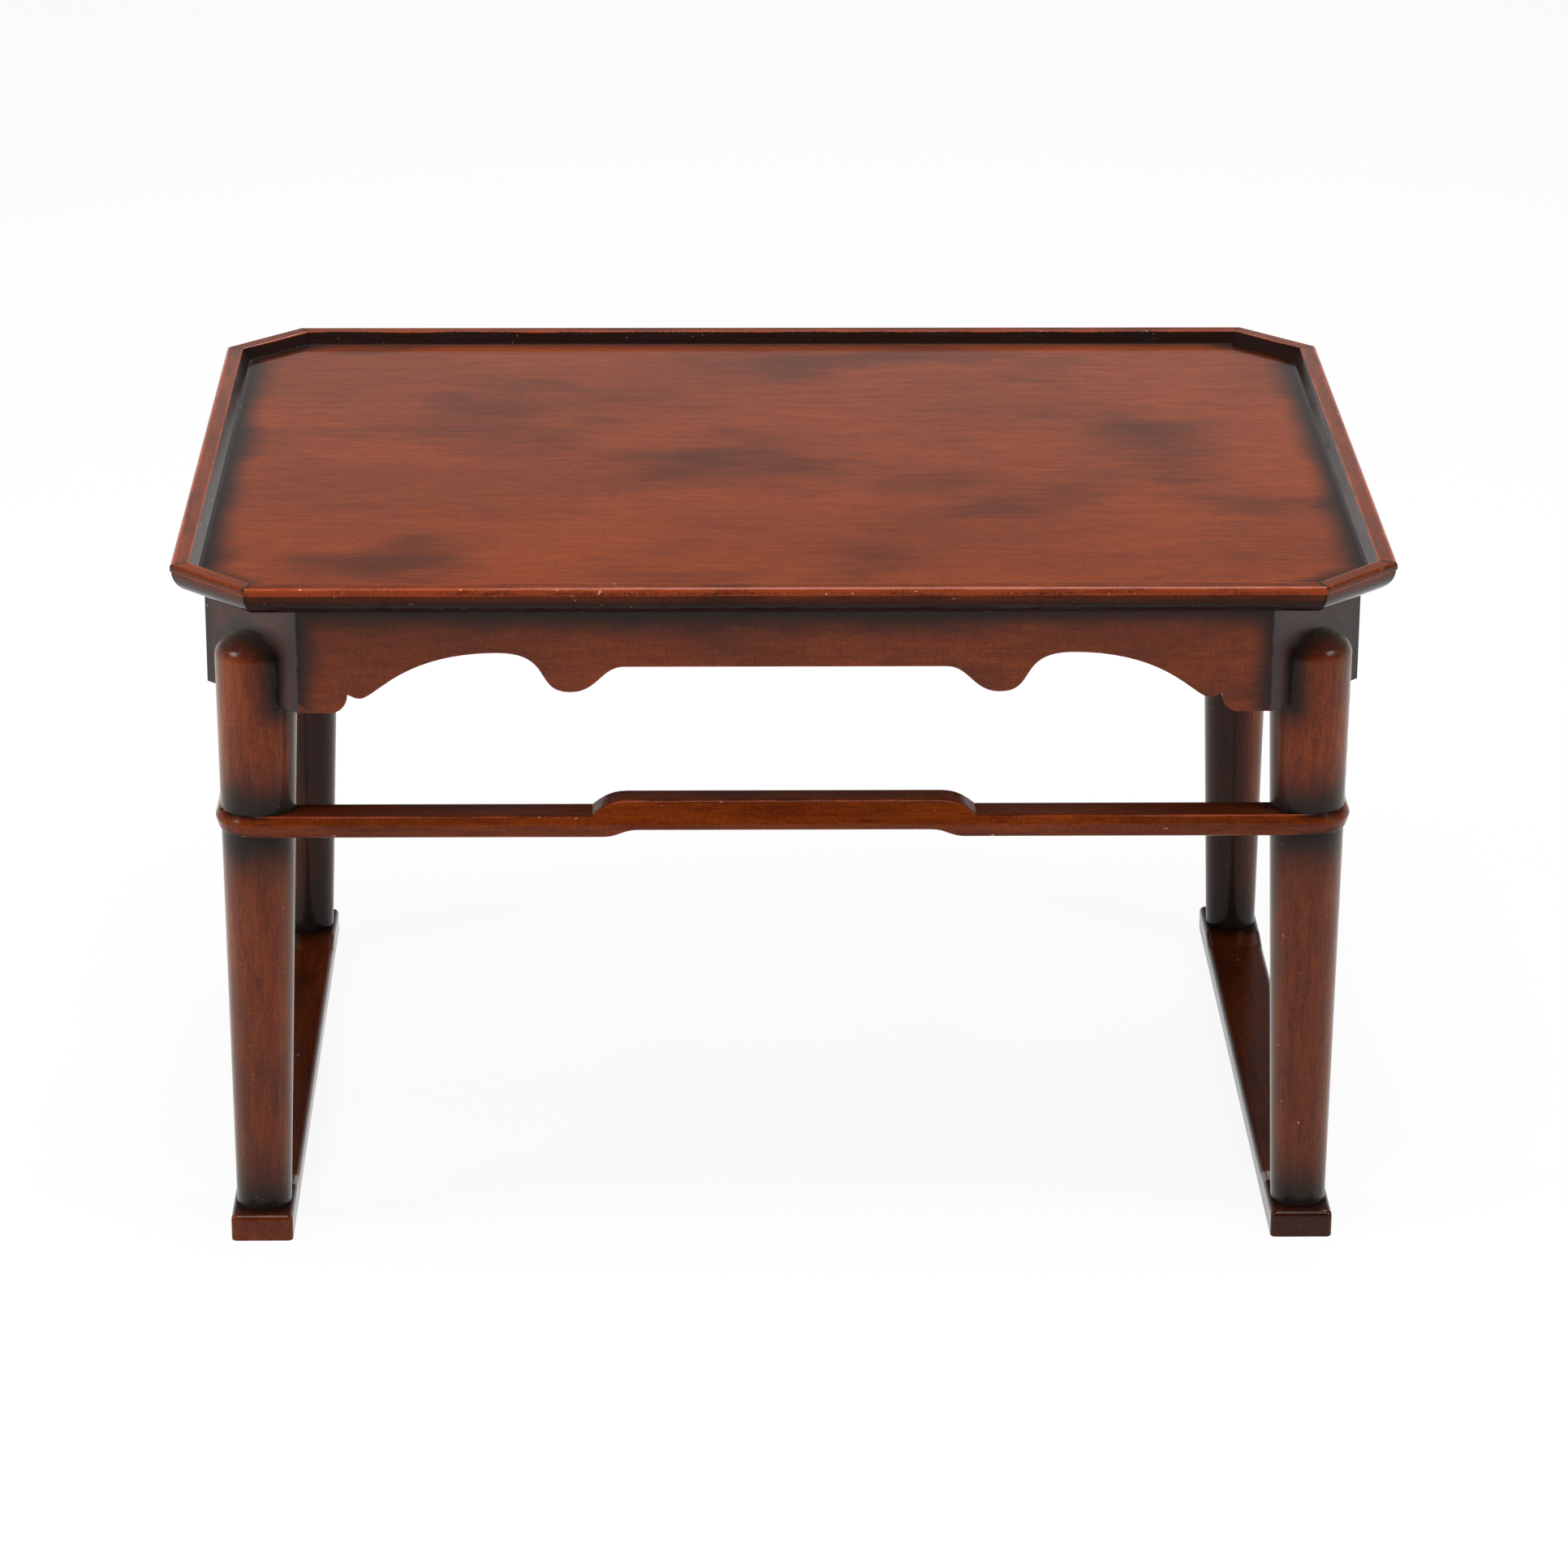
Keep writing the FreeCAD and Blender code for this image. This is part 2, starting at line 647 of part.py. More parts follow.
def turned_leg(name, side_x, side_y):
    """The lathe form of a leg, from a little below the rail's top up to its dome."""
    body = doc.addObject("PartDesign::Body", f"turned_{name}")
    sketch = new_sketch(body, f"turned_outline_{name}", "XZ_Plane")
    spare = d.leg_foot_diameter / 10
    low = -spare
    low_radius = leg_radius(d.rail_pad_height - spare)
    shoulder = leg_shoulder - d.rail_pad_height
    shoulder_radius = d.leg_top_diameter / 2
    apex = shoulder + d.leg_dome
    sphere = (shoulder_radius * shoulder_radius + d.leg_dome * d.leg_dome) / (d.leg_dome * 2)
    centre = vector(0, float(apex - sphere))
    start_angle = math.atan2(float(shoulder) - centre.y, float(shoulder_radius))
    dome = Part.Circle(centre, UP, float(sphere))
    sketch.addGeometry(Part.LineSegment(vector(0, low), vector(low_radius, low)))
    sketch.addGeometry(Part.LineSegment(vector(low_radius, low), vector(shoulder_radius, shoulder)))
    sketch.addGeometry(Part.LineSegment(vector(0, apex), vector(0, low)))
    sketch.addGeometry(Part.ArcOfCircle(dome, start_angle, math.pi / 2))
    joins = [(0, 2, 1, 1), (1, 2, 3, 1), (3, 2, 2, 1), (2, 2, 0, 1)]
    for ends in joins:
        sketch.addConstraint(Sketcher.Constraint("Coincident", *ends))
    sketch.addConstraint(Sketcher.Constraint("PointOnObject", 3, 3, -2))
    for index, (x, y) in enumerate([(NOTHING, low), (low_radius, low), (NOTHING, apex)]):
        hold(sketch, "DistanceX", index, x)
        hold(sketch, "DistanceY", index, y)
    hold(sketch, "DistanceX", 3, shoulder_radius)
    hold(sketch, "DistanceY", 3, shoulder)
    turning = body.newObject("PartDesign::Revolution", f"turning_{name}")
    turning.Profile = sketch
    turning.ReferenceAxis = (sketch, ["V_Axis"])
    turning.Angle = 360

    def is_shoulder(edge):
        box = edge.BoundBox
        return max(box.ZLength, abs(box.ZMax - float(shoulder))) < TINY

    rounded(body, f"shoulder_round_{name}", turning, is_shoulder, d.leg_shoulder_round)
    body.Placement = leg_place(side_x, side_y, d.rail_pad_height)
    return body


def inner_cheek(name, side_x, side_y):
    """The part of a leg behind the slot, planed a hair thinner, which rises to carry the tray board."""
    start = leg_shoulder - d.leg_dome
    rise = (panel_under - start) * STOCK_SHARE
    stock = primitive(
        "Cone",
        f"cheek_stock_{name}",
        leg_place(side_x, side_y, start),
        Radius1=leg_radius(start) - d.joint_gap,
        Radius2=leg_radius(start + rise) - d.joint_gap,
        Height=rise,
    )
    reach = d.leg_top_diameter
    behind = float(slot_width) / 2 + float(reach)
    middle = float(reach)
    place = head_place(side_x, side_y, -behind, float(start))
    place.Base = place.Base - place.Rotation.multVec(FreeCAD.Vector(0, middle, 0))
    limits = primitive(
        "Box",
        f"cheek_limits_{name}",
        place,
        Length=reach,
        Width=reach * 2,
        Height=panel_under - start,
    )
    return boolean("Common", f"cheek_{name}", stock, limits)


def slot_cutter(name, side_x, side_y):
    reach = d.leg_top_diameter
    floor = apron_bottom - d.joint_gap
    place = head_place(side_x, side_y, -float(slot_width) / 2, float(floor))
    place.Base = place.Base - place.Rotation.multVec(FreeCAD.Vector(0, float(reach), 0))
    return primitive(
        "Box",
        f"slot_{name}",
        place,
        Length=slot_width,
        Width=reach * 2,
        Height=d.table_height - floor,
    )


def seat_cutter(name, side_x, side_y):
    """Takes the shallow seat for two stretchers out of a leg's outer sides."""
    low = stretcher_under - d.joint_gap
    height = d.stretcher_height + d.joint_gap * 2
    middle_x = side_x * float(stretcher_leg_x)
    middle_y = side_y * float(stretcher_leg_y)
    place = turned(0, middle_x, middle_y, low)
    ring = primitive("Cylinder", f"seat_ring_{name}", place, Radius=d.leg_top_diameter, Height=height)
    core = primitive("Cylinder", f"seat_core_{name}", place, Radius=seat_radius, Height=height)
    back = float(d.stretcher_back) - float(d.joint_gap)
    reach = d.leg_top_diameter * 2
    turn = {(-1, -1): 0, (1, -1): 90, (1, 1): 180, (-1, 1): 270}[(side_x, side_y)]
    inner_place = turned(turn, middle_x, middle_y, low)
    inner_place.Base = inner_place.Base - inner_place.Rotation.multVec(FreeCAD.Vector(back, back, 0))
    inner = primitive(
        "Box", f"seat_inner_{name}", inner_place, Length=reach, Width=reach, Height=height
    )
    hollow = boolean("Cut", f"seat_hollow_{name}", ring, core)
    return boolean("Cut", f"seat_{name}", hollow, inner)


def make_leg(name, side_x, side_y):
    taper = turned_leg(name, side_x, side_y)
    whole = boolean("Fuse", f"leg_head_{name}", taper, inner_cheek(name, side_x, side_y))
    slotted = boolean("Cut", f"leg_slotted_{name}", whole, slot_cutter(name, side_x, side_y))
    seated = boolean("Cut", f"leg_seated_{name}", slotted, seat_cutter(name, side_x, side_y))
    under = primitive(
        "Box",
        f"foot_trim_{name}",
        turned(0, side_x * float(leg_foot_x) - float(d.leg_top_diameter),
               side_y * float(leg_head_y) - float(d.leg_top_diameter)),
        Length=d.leg_top_diameter * 2,
        Width=d.leg_top_diameter * 2,
        Height=d.rail_pad_height,
    )
    standing = boolean("Cut", f"leg_standing_{name}", seated, under)
    tenon = primitive(
        "Cylinder",
        f"tenon_{name}",
        leg_place(side_x, side_y, d.rail_pad_height - d.leg_tenon_length),
        Radius=d.leg_tenon_diameter / 2,
        Height=d.leg_tenon_length * 2,
    )
    return boolean("Fuse", f"leg_whole_{name}", standing, tenon)


# Foot rails: a raised pad under each leg, a lower middle, rounded upper edges and blind mortises

def make_rail(name, side_x):
    body = doc.addObject("PartDesign::Body", f"rail_body_{name}")
    sketch = new_sketch(body, f"rail_outline_{name}", "YZ_Plane")
    end = d.rail_length / 2
    pad_end = leg_head_y - d.rail_pad_reach
    low_end = pad_end - d.rail_pad_slope
    draw_polygon(sketch, [
        (-end, NOTHING),
        (end, NOTHING),
        (end, d.rail_pad_height),
        (pad_end, d.rail_pad_height),
        (low_end, d.rail_middle_height),
        (-low_end, d.rail_middle_height),
        (-pad_end, d.rail_pad_height),
        (-end, d.rail_pad_height),
    ])
    bar = body.newObject("PartDesign::Pad", f"rail_bar_{name}")
    bar.Profile = sketch
    bind(bar, Length=d.rail_width)
    bar.SideType = "Symmetric"
    top = float(d.rail_pad_height)
    half = float(d.rail_width) / 2

    def is_end_edge(edge):
        box = edge.BoundBox
        level = max(box.YLength, box.ZLength, abs(box.ZMax - top)) < TINY
        return level and abs(abs(box.YMax) - float(end)) < TINY

    ends = rounded(body, f"rail_end_round_{name}", bar, is_end_edge, d.rail_end_round)

    def is_long_edge(edge):
        box = edge.BoundBox
        upright = max(box.XLength, abs(abs(box.XMax) - half)) < TINY
        return upright and box.ZMin > TINY

    rounded(body, f"rail_edge_round_{name}", ends, is_long_edge, d.rail_edge_round)
    body.Placement = turned(0, side_x * float(leg_foot_x), 0)
    mortises = compound(f"mortises_{name}", [mortise(name, side_x, side_y) for side_y in (-1, 1)])
    return boolean("Cut", f"rail_mortised_{name}", body, mortises)


def mortise(name, side_x, side_y):
    depth = d.leg_tenon_length + d.joint_gap
    return primitive(
        "Cylinder",
        f"mortise_{name}_{'front' if side_y < 0 else 'rear'}",
        leg_place(side_x, side_y, d.rail_pad_height - depth),
        Radius=d.leg_tenon_diameter / 2 + d.joint_gap,
        Height=depth * 2,
    )


# Bamboo pins, each with the hole that it fills

def pin_and_hole(name, place, diameter, length):
    """A pin along a place's Z axis, and its hole, a little larger all round."""
    pin = primitive("Cylinder", f"pin_{name}", place, Radius=diameter / 2, Height=length)
    hole_place = place.copy()
    gap = float(d.joint_gap)
    hole_place.Base = hole_place.Base - hole_place.Rotation.multVec(FreeCAD.Vector(0, 0, gap))
    hole = primitive(
        "Cylinder",
        f"hole_{name}",
        hole_place,
        Radius=diameter / 2 + d.joint_gap,
        Height=length + d.joint_gap * 2,
    )
    return pin, hole


def pointing(direction, position):
    """A place whose Z axis points along a direction."""
    return FreeCAD.Placement(position, FreeCAD.Rotation(UP, direction))


def leg_pin(name, side_x, side_y):
    """A pin from a leg's inner cheek through the diagonal board into the outer cheek."""
    height = apron_bottom + d.leg_pin_rise
    radius = leg_radius(height)
    outward = FreeCAD.Vector(side_x, side_y, 0)
    outward.normalize()
    inner_end = -float(radius - d.pin_cover)
    axis = leg_place(side_x, side_y, height).Base
    length = radius * 2 - d.pin_cover - d.leg_pin_cover
    return pin_and_hole(
        f"leg_{name}",
        pointing(outward, axis + outward * inner_end),
        d.leg_pin_diameter,
        length,
    )


def stretcher_pin(name, side_x, side_y, direction):
    """A sunk pin from the face of a stretcher straight towards a leg's axis."""
    axis = vector(side_x * float(stretcher_leg_x), side_y * float(stretcher_leg_y))
    axis.z = float(stretcher_under + d.stretcher_bevel_rise)
    start = axis - direction * float(stretcher_round - d.pin_cover)
    return pin_and_hole(
        f"stretcher_{name}",
        pointing(direction, start),
        d.stretcher_pin_diameter,
        d.stretcher_pin_length,
    )


def rim_pin_places():
    """Where the rim pins stand: evenly along each long strip, one in each corner strip."""
    places = []
    low = float(tongue_top) + float(d.joint_gap) - float(d.rim_pin_length)
    for name, (x, y, turn, half_length) in octagon_sides(half_width, half_depth, d.corner_cut).items():
        strip_length = 2 * float(half_length)
        count = 1 if name.startswith("corner") else max(2, int(strip_length // float(d.rim_pin_spacing)))
        start = -(count - 1) / 2 * float(d.rim_pin_spacing)
        strip_place = turned(turn, x, y)
        for step in range(count):
            along = start + step * float(d.rim_pin_spacing)
            spot = strip_place.multVec(FreeCAD.Vector(along, float(d.rim_pin_inset), low))
            places.append((name, FreeCAD.Placement(spot, FreeCAD.Rotation())))
    return places


# Assembly

tray = make_tray_panel()
rims = make_rim()
aprons = make_apron()
bars = make_stretchers()
legs = {name: make_leg(name, *sides) for name, sides in CORNERS.items()}
rails = {"left": make_rail("left", -1), "right": make_rail("right", 1)}

rim_pins = []
rim_holes = {name: [] for name in rims}
for index, (name, place) in enumerate(rim_pin_places()):
    pin, hole = pin_and_hole(f"rim_{index}", place, d.rim_pin_diameter, d.rim_pin_length)
    rim_pins.append(pin)
    rim_holes[name].append(hole)

leg_pins = []
leg_holes = {}
for name, sides in CORNERS.items():
    pin, hole = leg_pin(name, *sides)
    leg_pins.append(pin)
    leg_holes[name] = hole

stretcher_pins = []
bar_holes = {name: [] for name in bars}
seat_holes = {name: [] for name in CORNERS}
for name, (side_x, side_y) in CORNERS.items():
    bar_ends = {
        "front" if side_y < 0 else "rear": FreeCAD.Vector(0, -side_y, 0),
        "left" if side_x < 0 else "right": FreeCAD.Vector(-side_x, 0, 0),
    }
    for bar_name, direction in bar_ends.items():
        pin, hole = stretcher_pin(f"{bar_name}_{name}", side_x, side_y, direction)
        stretcher_pins.append(pin)
        bar_holes[bar_name].append(hole)
        seat_holes[name].append(hole)

all_rim_holes = compound("rim_holes", [hole for holes in rim_holes.values() for hole in holes])
keep(boolean("Cut", "tray_drilled", tray, all_rim_holes), "tray_panel")
for name, strip in rims.items():
    holes = compound(f"rim_holes_{name}", rim_holes[name])
    keep(boolean("Cut", f"rim_drilled_{name}", strip, holes), f"rim_{name}")
for name, board in aprons.items():
    label = f"apron_{name}"
    if name.startswith("corner"):
        hole = leg_holes[name.removeprefix("corner_")]
        board = boolean("Cut", f"apron_drilled_{name}", board, hole)
    keep(board, label)
for name, leg in legs.items():
    holes = compound(f"leg_holes_{name}", [leg_holes[name]] + seat_holes[name])
    keep(boolean("Cut", f"leg_drilled_{name}", leg, holes), f"leg_{name}")
for name, bar in bars.items():
    holes = compound(f"stretcher_holes_{name}", bar_holes[name])
    keep(boolean("Cut", f"stretcher_drilled_{name}", bar, holes), f"stretcher_{name}")
for name, rail in rails.items():
    keep(rail, f"foot_rail_{name}")
keep(compound("leg_pin_group", leg_pins), "leg_pins")
keep(compound("stretcher_pin_group", stretcher_pins), "stretcher_pins")
keep(compound("rim_pin_group", rim_pins), "rim_pins")
doc.recompute()

# Every object has to be sound before anything is written
for item in doc.Objects:
    if "Invalid" in item.State or "Error" in item.State:
        raise RuntimeError(f"{item.Name} failed: {item.State}")
for item in nodes:
    if item.Shape.isNull() or not item.Shape.isValid() or not item.Shape.Solids:
        raise RuntimeError(f"{item.Label} has no sound shape")

os.makedirs("parts", exist_ok=True)
for item in nodes:
    item.Shape.exportStep(f"parts/{item.Label}.step")
    print(item.Label, len(item.Shape.Solids), "solid(s)", round(item.Shape.Volume), "mm3")
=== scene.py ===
# %% [markdown]
# # A low lacquered tray table
# A shallow octagonal tray stands on four turned legs, which are tied by stretchers and stand on two
# foot rails. Every piece is wood under red-brown lacquer. The maker shaded it with smoky black near
# the joints, and use has rubbed it back to red along the edges. The frame already holds every piece
# at its real size and place. This lesson softens the edges, measures how far each point lies from an
# edge and from a joint, and lets one lacquer recipe read those measures.

# %% Load the frame
import math

import bmesh
import bpy
from mathutils import Matrix, Vector
from mathutils.bvhtree import BVHTree


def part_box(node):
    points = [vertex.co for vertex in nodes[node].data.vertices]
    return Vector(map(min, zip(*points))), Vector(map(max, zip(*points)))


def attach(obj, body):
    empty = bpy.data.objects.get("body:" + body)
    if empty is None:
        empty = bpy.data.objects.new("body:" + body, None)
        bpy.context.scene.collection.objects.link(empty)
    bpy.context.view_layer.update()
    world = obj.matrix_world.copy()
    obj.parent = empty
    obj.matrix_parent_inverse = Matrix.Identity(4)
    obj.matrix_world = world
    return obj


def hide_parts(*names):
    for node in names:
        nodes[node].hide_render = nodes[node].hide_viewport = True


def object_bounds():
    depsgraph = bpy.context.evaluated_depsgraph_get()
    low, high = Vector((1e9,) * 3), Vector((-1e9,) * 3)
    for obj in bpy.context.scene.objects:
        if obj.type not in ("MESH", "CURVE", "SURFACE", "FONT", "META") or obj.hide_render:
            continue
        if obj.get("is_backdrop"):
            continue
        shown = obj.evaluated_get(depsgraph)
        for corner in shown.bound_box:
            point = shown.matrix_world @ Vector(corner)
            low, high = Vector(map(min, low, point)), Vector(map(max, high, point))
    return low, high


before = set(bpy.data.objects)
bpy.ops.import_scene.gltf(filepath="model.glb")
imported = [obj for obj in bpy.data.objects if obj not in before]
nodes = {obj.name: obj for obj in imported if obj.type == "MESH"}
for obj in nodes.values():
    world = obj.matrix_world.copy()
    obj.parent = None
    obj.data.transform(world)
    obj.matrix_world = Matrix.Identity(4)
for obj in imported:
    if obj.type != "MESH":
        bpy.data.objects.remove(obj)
cad_box = [list(corner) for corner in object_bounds()]
MM = 0.001
print("nodes:", len(nodes), "box in mm:", [[round(c / MM, 1) for c in corner] for corner in cad_box])

# %% [markdown]
# ## Camera
# A camera that matches a picture needs three things: the length of its lens, where it stands and
# where it looks. The lens is known in pixels of the picture, and the width of the sensor turns that
# into millimetres. The three axes are worked out from yaw, pitch and roll, because a matrix that is
# built from its axes can be checked by eye, while a row of angles for a camera that looks down its
# own -Z can't.

# %% Camera
PICTURE_PIXELS = 1932
LENS_PIXELS = 6900
CAMERA_PLACE_MM = Vector((-38.9, -2110.65, 928.04))
CAMERA_YAW = 0.01979
CAMERA_PITCH = 0.36247
CAMERA_ROLL = -0.0046

forward = Vector((
    math.sin(CAMERA_YAW) * math.cos(CAMERA_PITCH),
    math.cos(CAMERA_YAW) * math.cos(CAMERA_PITCH),
    -math.sin(CAMERA_PITCH),
))
level_right = Vector((math.cos(CAMERA_YAW), -math.sin(CAMERA_YAW), 0))
level_down = forward.cross(level_right)
right = level_right * math.cos(CAMERA_ROLL) + level_down * math.sin(CAMERA_ROLL)
down = level_down * math.cos(CAMERA_ROLL) - level_right * math.sin(CAMERA_ROLL)

camera_data = bpy.data.cameras.new("camera")
camera_data.sensor_width = 36
camera_data.lens = camera_data.sensor_width * LENS_PIXELS / PICTURE_PIXELS
camera = bpy.data.objects.new("camera", camera_data)
bpy.context.scene.collection.objects.link(camera)
axes = Matrix((right, -down, -forward)).transposed()
camera.matrix_world = Matrix.LocRotScale(CAMERA_PLACE_MM * MM, axes.to_quaternion(), None)
bpy.context.scene.camera = camera
print("lens in mm:", round(camera_data.lens, 2))

# %% [markdown]
# ## Colours and nodes
# Colours are written as sRGB hex values, as an eye dropper shows them, and one function turns them
# into the linear values that a shader works with. One small function adds any node: it sets the node
# up and then fills its inputs, so that a material reads as a list of what it is made of.

# %% Helpers for materials
def linear(hex_colour):
    """An sRGB hex value as linear red, green, blue and alpha."""
    channels = [int(hex_colour[start:start + 2], 16) / 255 for start in (1, 3, 5)]
    return [c / 12.92 if c <= 0.04045 else ((c + 0.055) / 1.055) ** 2.4 for c in channels] + [1.0]


def add(tree, kind, inputs=None, **settings):
    """Adds a node. An input takes a value, a socket, or a node whose first output in use feeds it."""
    node = tree.nodes.new(kind)
    for name, value in settings.items():
        setattr(node, name, value)
    for key, value in (inputs or {}).items():
        in_use = [s for s in node.inputs if s.enabled and s.name == key]
        socket = node.inputs[key] if isinstance(key, int) else in_use[0]
        if isinstance(value, bpy.types.Node):
            value = next(output for output in value.outputs if output.enabled)
        if isinstance(value, bpy.types.NodeSocket):
            tree.links.new(value, socket)
        else:
            socket.default_value = value
    return node


def new_material(name):
    """A material with an empty node tree."""
    material = bpy.data.materials.new(name)
    material.use_nodes = True
    material.node_tree.nodes.clear()
    return material


print("mid grey in linear light:", [round(c, 3) for c in linear("#808080")])

# %% [markdown]
# ## Floor and light
# The table stands in a plain studio. The floor is one wide sheet of white paper that curls up at its
# far rim, so that low views end in white as well. To the camera and to mirrors it is white by itself,
# and the rest of its look is ordinary matte paper, which keeps the soft shadow under the table.

# %% Floor
FLOOR_RINGS = [(1.0, 0.0), (4.0, 0.0), (6.5, 0.0), (7.5, 0.15), (8.2, 0.5), (8.6, 1.0), (8.8, 1.6)]
FLOOR_SIDES = 96
FLOOR_WHITE_SHARE = 0.92

floor_bm = bmesh.new()
turns = [2 * math.pi * side / FLOOR_SIDES for side in range(FLOOR_SIDES)]
rings = [
    [floor_bm.verts.new((radius * math.cos(turn), radius * math.sin(turn), height)) for turn in turns]
    for radius, height in FLOOR_RINGS
]
floor_bm.faces.new(rings[0])
for inner, outer in zip(rings, rings[1:]):
    for side in range(FLOOR_SIDES):
        after = (side + 1) % FLOOR_SIDES
        floor_bm.faces.new((inner[side], outer[side], outer[after], inner[after]))
for face in floor_bm.faces:
    face.smooth = True
floor_mesh = bpy.data.meshes.new("studio_floor")
floor_bm.to_mesh(floor_mesh)
floor_bm.free()
floor = bpy.data.objects.new("studio_floor", floor_mesh)
bpy.context.scene.collection.objects.link(floor)

paper = new_material("matte_white_paper")
tree = paper.node_tree
path = add(tree, "ShaderNodeLightPath")
seen = add(tree, "ShaderNodeMath", {
    0: path.outputs["Is Camera Ray"], 1: path.outputs["Is Glossy Ray"],
}, operation="MAXIMUM")
seen = add(tree, "ShaderNodeMath", {0: seen, 1: path.outputs["Is Transmission Ray"]}, operation="MAXIMUM")
share = add(tree, "ShaderNodeMath", {0: seen, 1: FLOOR_WHITE_SHARE}, operation="MULTIPLY")
matte = add(tree, "ShaderNodeBsdfDiffuse", {"Color": linear("#f7f6f4")})
white = add(tree, "ShaderNodeEmission", {"Strength": 1.0})
blend = add(tree, "ShaderNodeMixShader", {0: share, 1: matte, 2: white})
add(tree, "ShaderNodeOutputMaterial", {"Surface": blend})
floor_mesh.materials.append(paper)
floor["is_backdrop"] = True
print("floor across, in m:", 2 * FLOOR_RINGS[-1][0])

# %% [markdown]
# ## Lamps and room
# A large soft lamp hangs high over the front and does most of the work. One behind lights the back
# and lays the thin shadow of the rear rim on the tray. Two smaller ones at the left and right put the
# two soft glints on the shoulder of each leg. The room is dim above and behind the camera, so lacquer
# that leans up and forward stays deep and red. It is paler at the sides, which draws a light line
# down each leg, and low down at the rear, which veils the far half of the tray.

# %% Lamps and room
LAMPS = {
    "overhead": {"place": (0.0, -0.4, 2.0), "size": 0.9, "radiance": 9.5},
    "rear": {"place": (0.2, 1.3, 1.7), "size": 0.7, "radiance": 9.0},
    "front_left": {"place": (-1.4, -0.5, 1.2), "size": 0.6, "radiance": 14.0},
    "front_right": {"place": (1.35, -0.75, 1.3), "size": 0.55, "radiance": 12.0},
}
LAMP_TARGET = Vector((0, 0, 0.2))
for name, lamp in LAMPS.items():
    data = bpy.data.lights.new(f"lamp_{name}", "AREA")
    data.shape = "SQUARE"
    data.size = lamp["size"]
    data.energy = lamp["radiance"] * math.pi * lamp["size"] ** 2
    hung = bpy.data.objects.new(f"lamp_{name}", data)
    place = Vector(lamp["place"])
    hung.matrix_world = Matrix.LocRotScale(place, (LAMP_TARGET - place).to_track_quat("-Z", "Y"), None)
    bpy.context.scene.collection.objects.link(hung)

ROOM_DARKEST = 0.03
ROOM_DIM = 0.10
ROOM_SIDE_GAIN = 0.16
ROOM_REAR_WALL = 0.38
WALL_TOP = math.sin(math.radians(20.8))
WALL_FADE = math.sin(math.radians(15))
REAR_STARTS = -0.3
REAR_FULL = 0.6
world = bpy.data.worlds.new("studio_room")
bpy.context.scene.world = world
world.use_nodes = True
tree = world.node_tree
tree.nodes.clear()
direction = add(tree, "ShaderNodeTexCoord").outputs["Generated"]
parts = add(tree, "ShaderNodeSeparateXYZ", {0: direction})
rear = add(tree, "ShaderNodeMapRange", {
    "Value": parts.outputs["Y"], "From Min": REAR_STARTS, "From Max": REAR_FULL,
}, interpolation_type="SMOOTHSTEP")
wall = add(tree, "ShaderNodeMapRange", {
    "Value": parts.outputs["Z"], "From Min": WALL_TOP, "From Max": WALL_FADE,
    "To Min": ROOM_DIM, "To Max": ROOM_DIM + ROOM_REAR_WALL,
}, interpolation_type="SMOOTHSTEP")
wall = add(tree, "ShaderNodeMath", {0: wall, 1: rear, 2: ROOM_DARKEST}, operation="MULTIPLY_ADD")
side = add(tree, "ShaderNodeMath", {0: parts.outputs["X"]}, operation="ABSOLUTE")
level = add(tree, "ShaderNodeMath", {0: side, 1: ROOM_SIDE_GAIN, 2: wall}, operation="MULTIPLY_ADD")
room = add(tree, "ShaderNodeBackground", {"Strength": level})
add(tree, "ShaderNodeOutputWorld", {"Surface": room})
bpy.context.scene.view_settings.view_transform = "Standard"
print("lamps:", ", ".join(LAMPS))

# %% [markdown]
# ## Lacquer over wood
# The finish is brushed and wiped lacquer over planed wood: a warm red ground, smoky black laid on in
# clouds and near the joints, and a thin clear top that is polished to a satin. It could be painted on
# pictures, one for each piece, but painted wear has to be done again whenever a piece changes. Here
# it follows rules. Noise with cells of real sizes makes the clouds, the brush marks and the pores,
# drawn out along the grain. Three measures on the mesh say where the smoke and the wear go: the
# distance to the nearest joint, the distance to the nearest hard edge, and how much a face is darkened:
# mostly the maker's own shading, and in a few places painted shade and painted reflection.

# %% Colours and patterns of the lacquer
LACQUER_RED = "#903f11"
LACQUER_DEEP = "#732b0d"
LACQUER_SMOKE = "#130a08"
LACQUER_RUBBED = "#9a3f1c"
BARE_WOOD = "#cbab94"
LACQUER_IOR = 1.5
# A thin wiped film mirrors less than thick resin, and fine dust in it gives a pale bloom at low angles
LACQUER_MIRROR = 0.25
BLOOM_ROUGHNESS = 0.45
BLOOM_TINT = "#fff1e2"
# The ground under the film holds fine grit, which shows as a sandy tone
GRIT = 0.9
# Cell across the grain in mm, how many times longer it is along the grain, and detail. The pores and
# threads are finer on the real piece, and are drawn as coarse as the picture needs to show them.
PATTERNS = {
    "broad": (85.0, 1.3, 1.0),
    "mottle": (3.2, 8.0, 2.0),
    "brush": (1.4, 20.0, 3.0),
    "pore": (0.7, 14.0, 2.0),
    "speck": (1.1, 1.0, 1.5),
    "chip": (3.2, 1.2, 2.0),
    "wave": (11.0, 2.5, 1.0),
}
CLOUD_STRETCH = 1.7
CLOUD_DETAIL = 2.6
CLOUD_STARTS = 0.46
CLOUD_FULL = 0.78
CLOTH_THREAD = (0.9, 9.0, 2.0)
# What still shows through the smoke at a joint, and the least and most of its width
JOINT_CLEAR = 0.03
SMOKE_LEAST = 0.7
SMOKE_MOST = 1.4
# The middle of the mottle, where red and deep red are even
MOTTLE_MIDDLE = 0.52
# Where the rubbing along an edge is full and where it ends, and how ragged two patterns make it
RUB_FULL_MM = 1.25
RUB_END_MM = 1.9
RUB_SPECK_MM = 0.9
RUB_MOTTLE_MM = 1.6
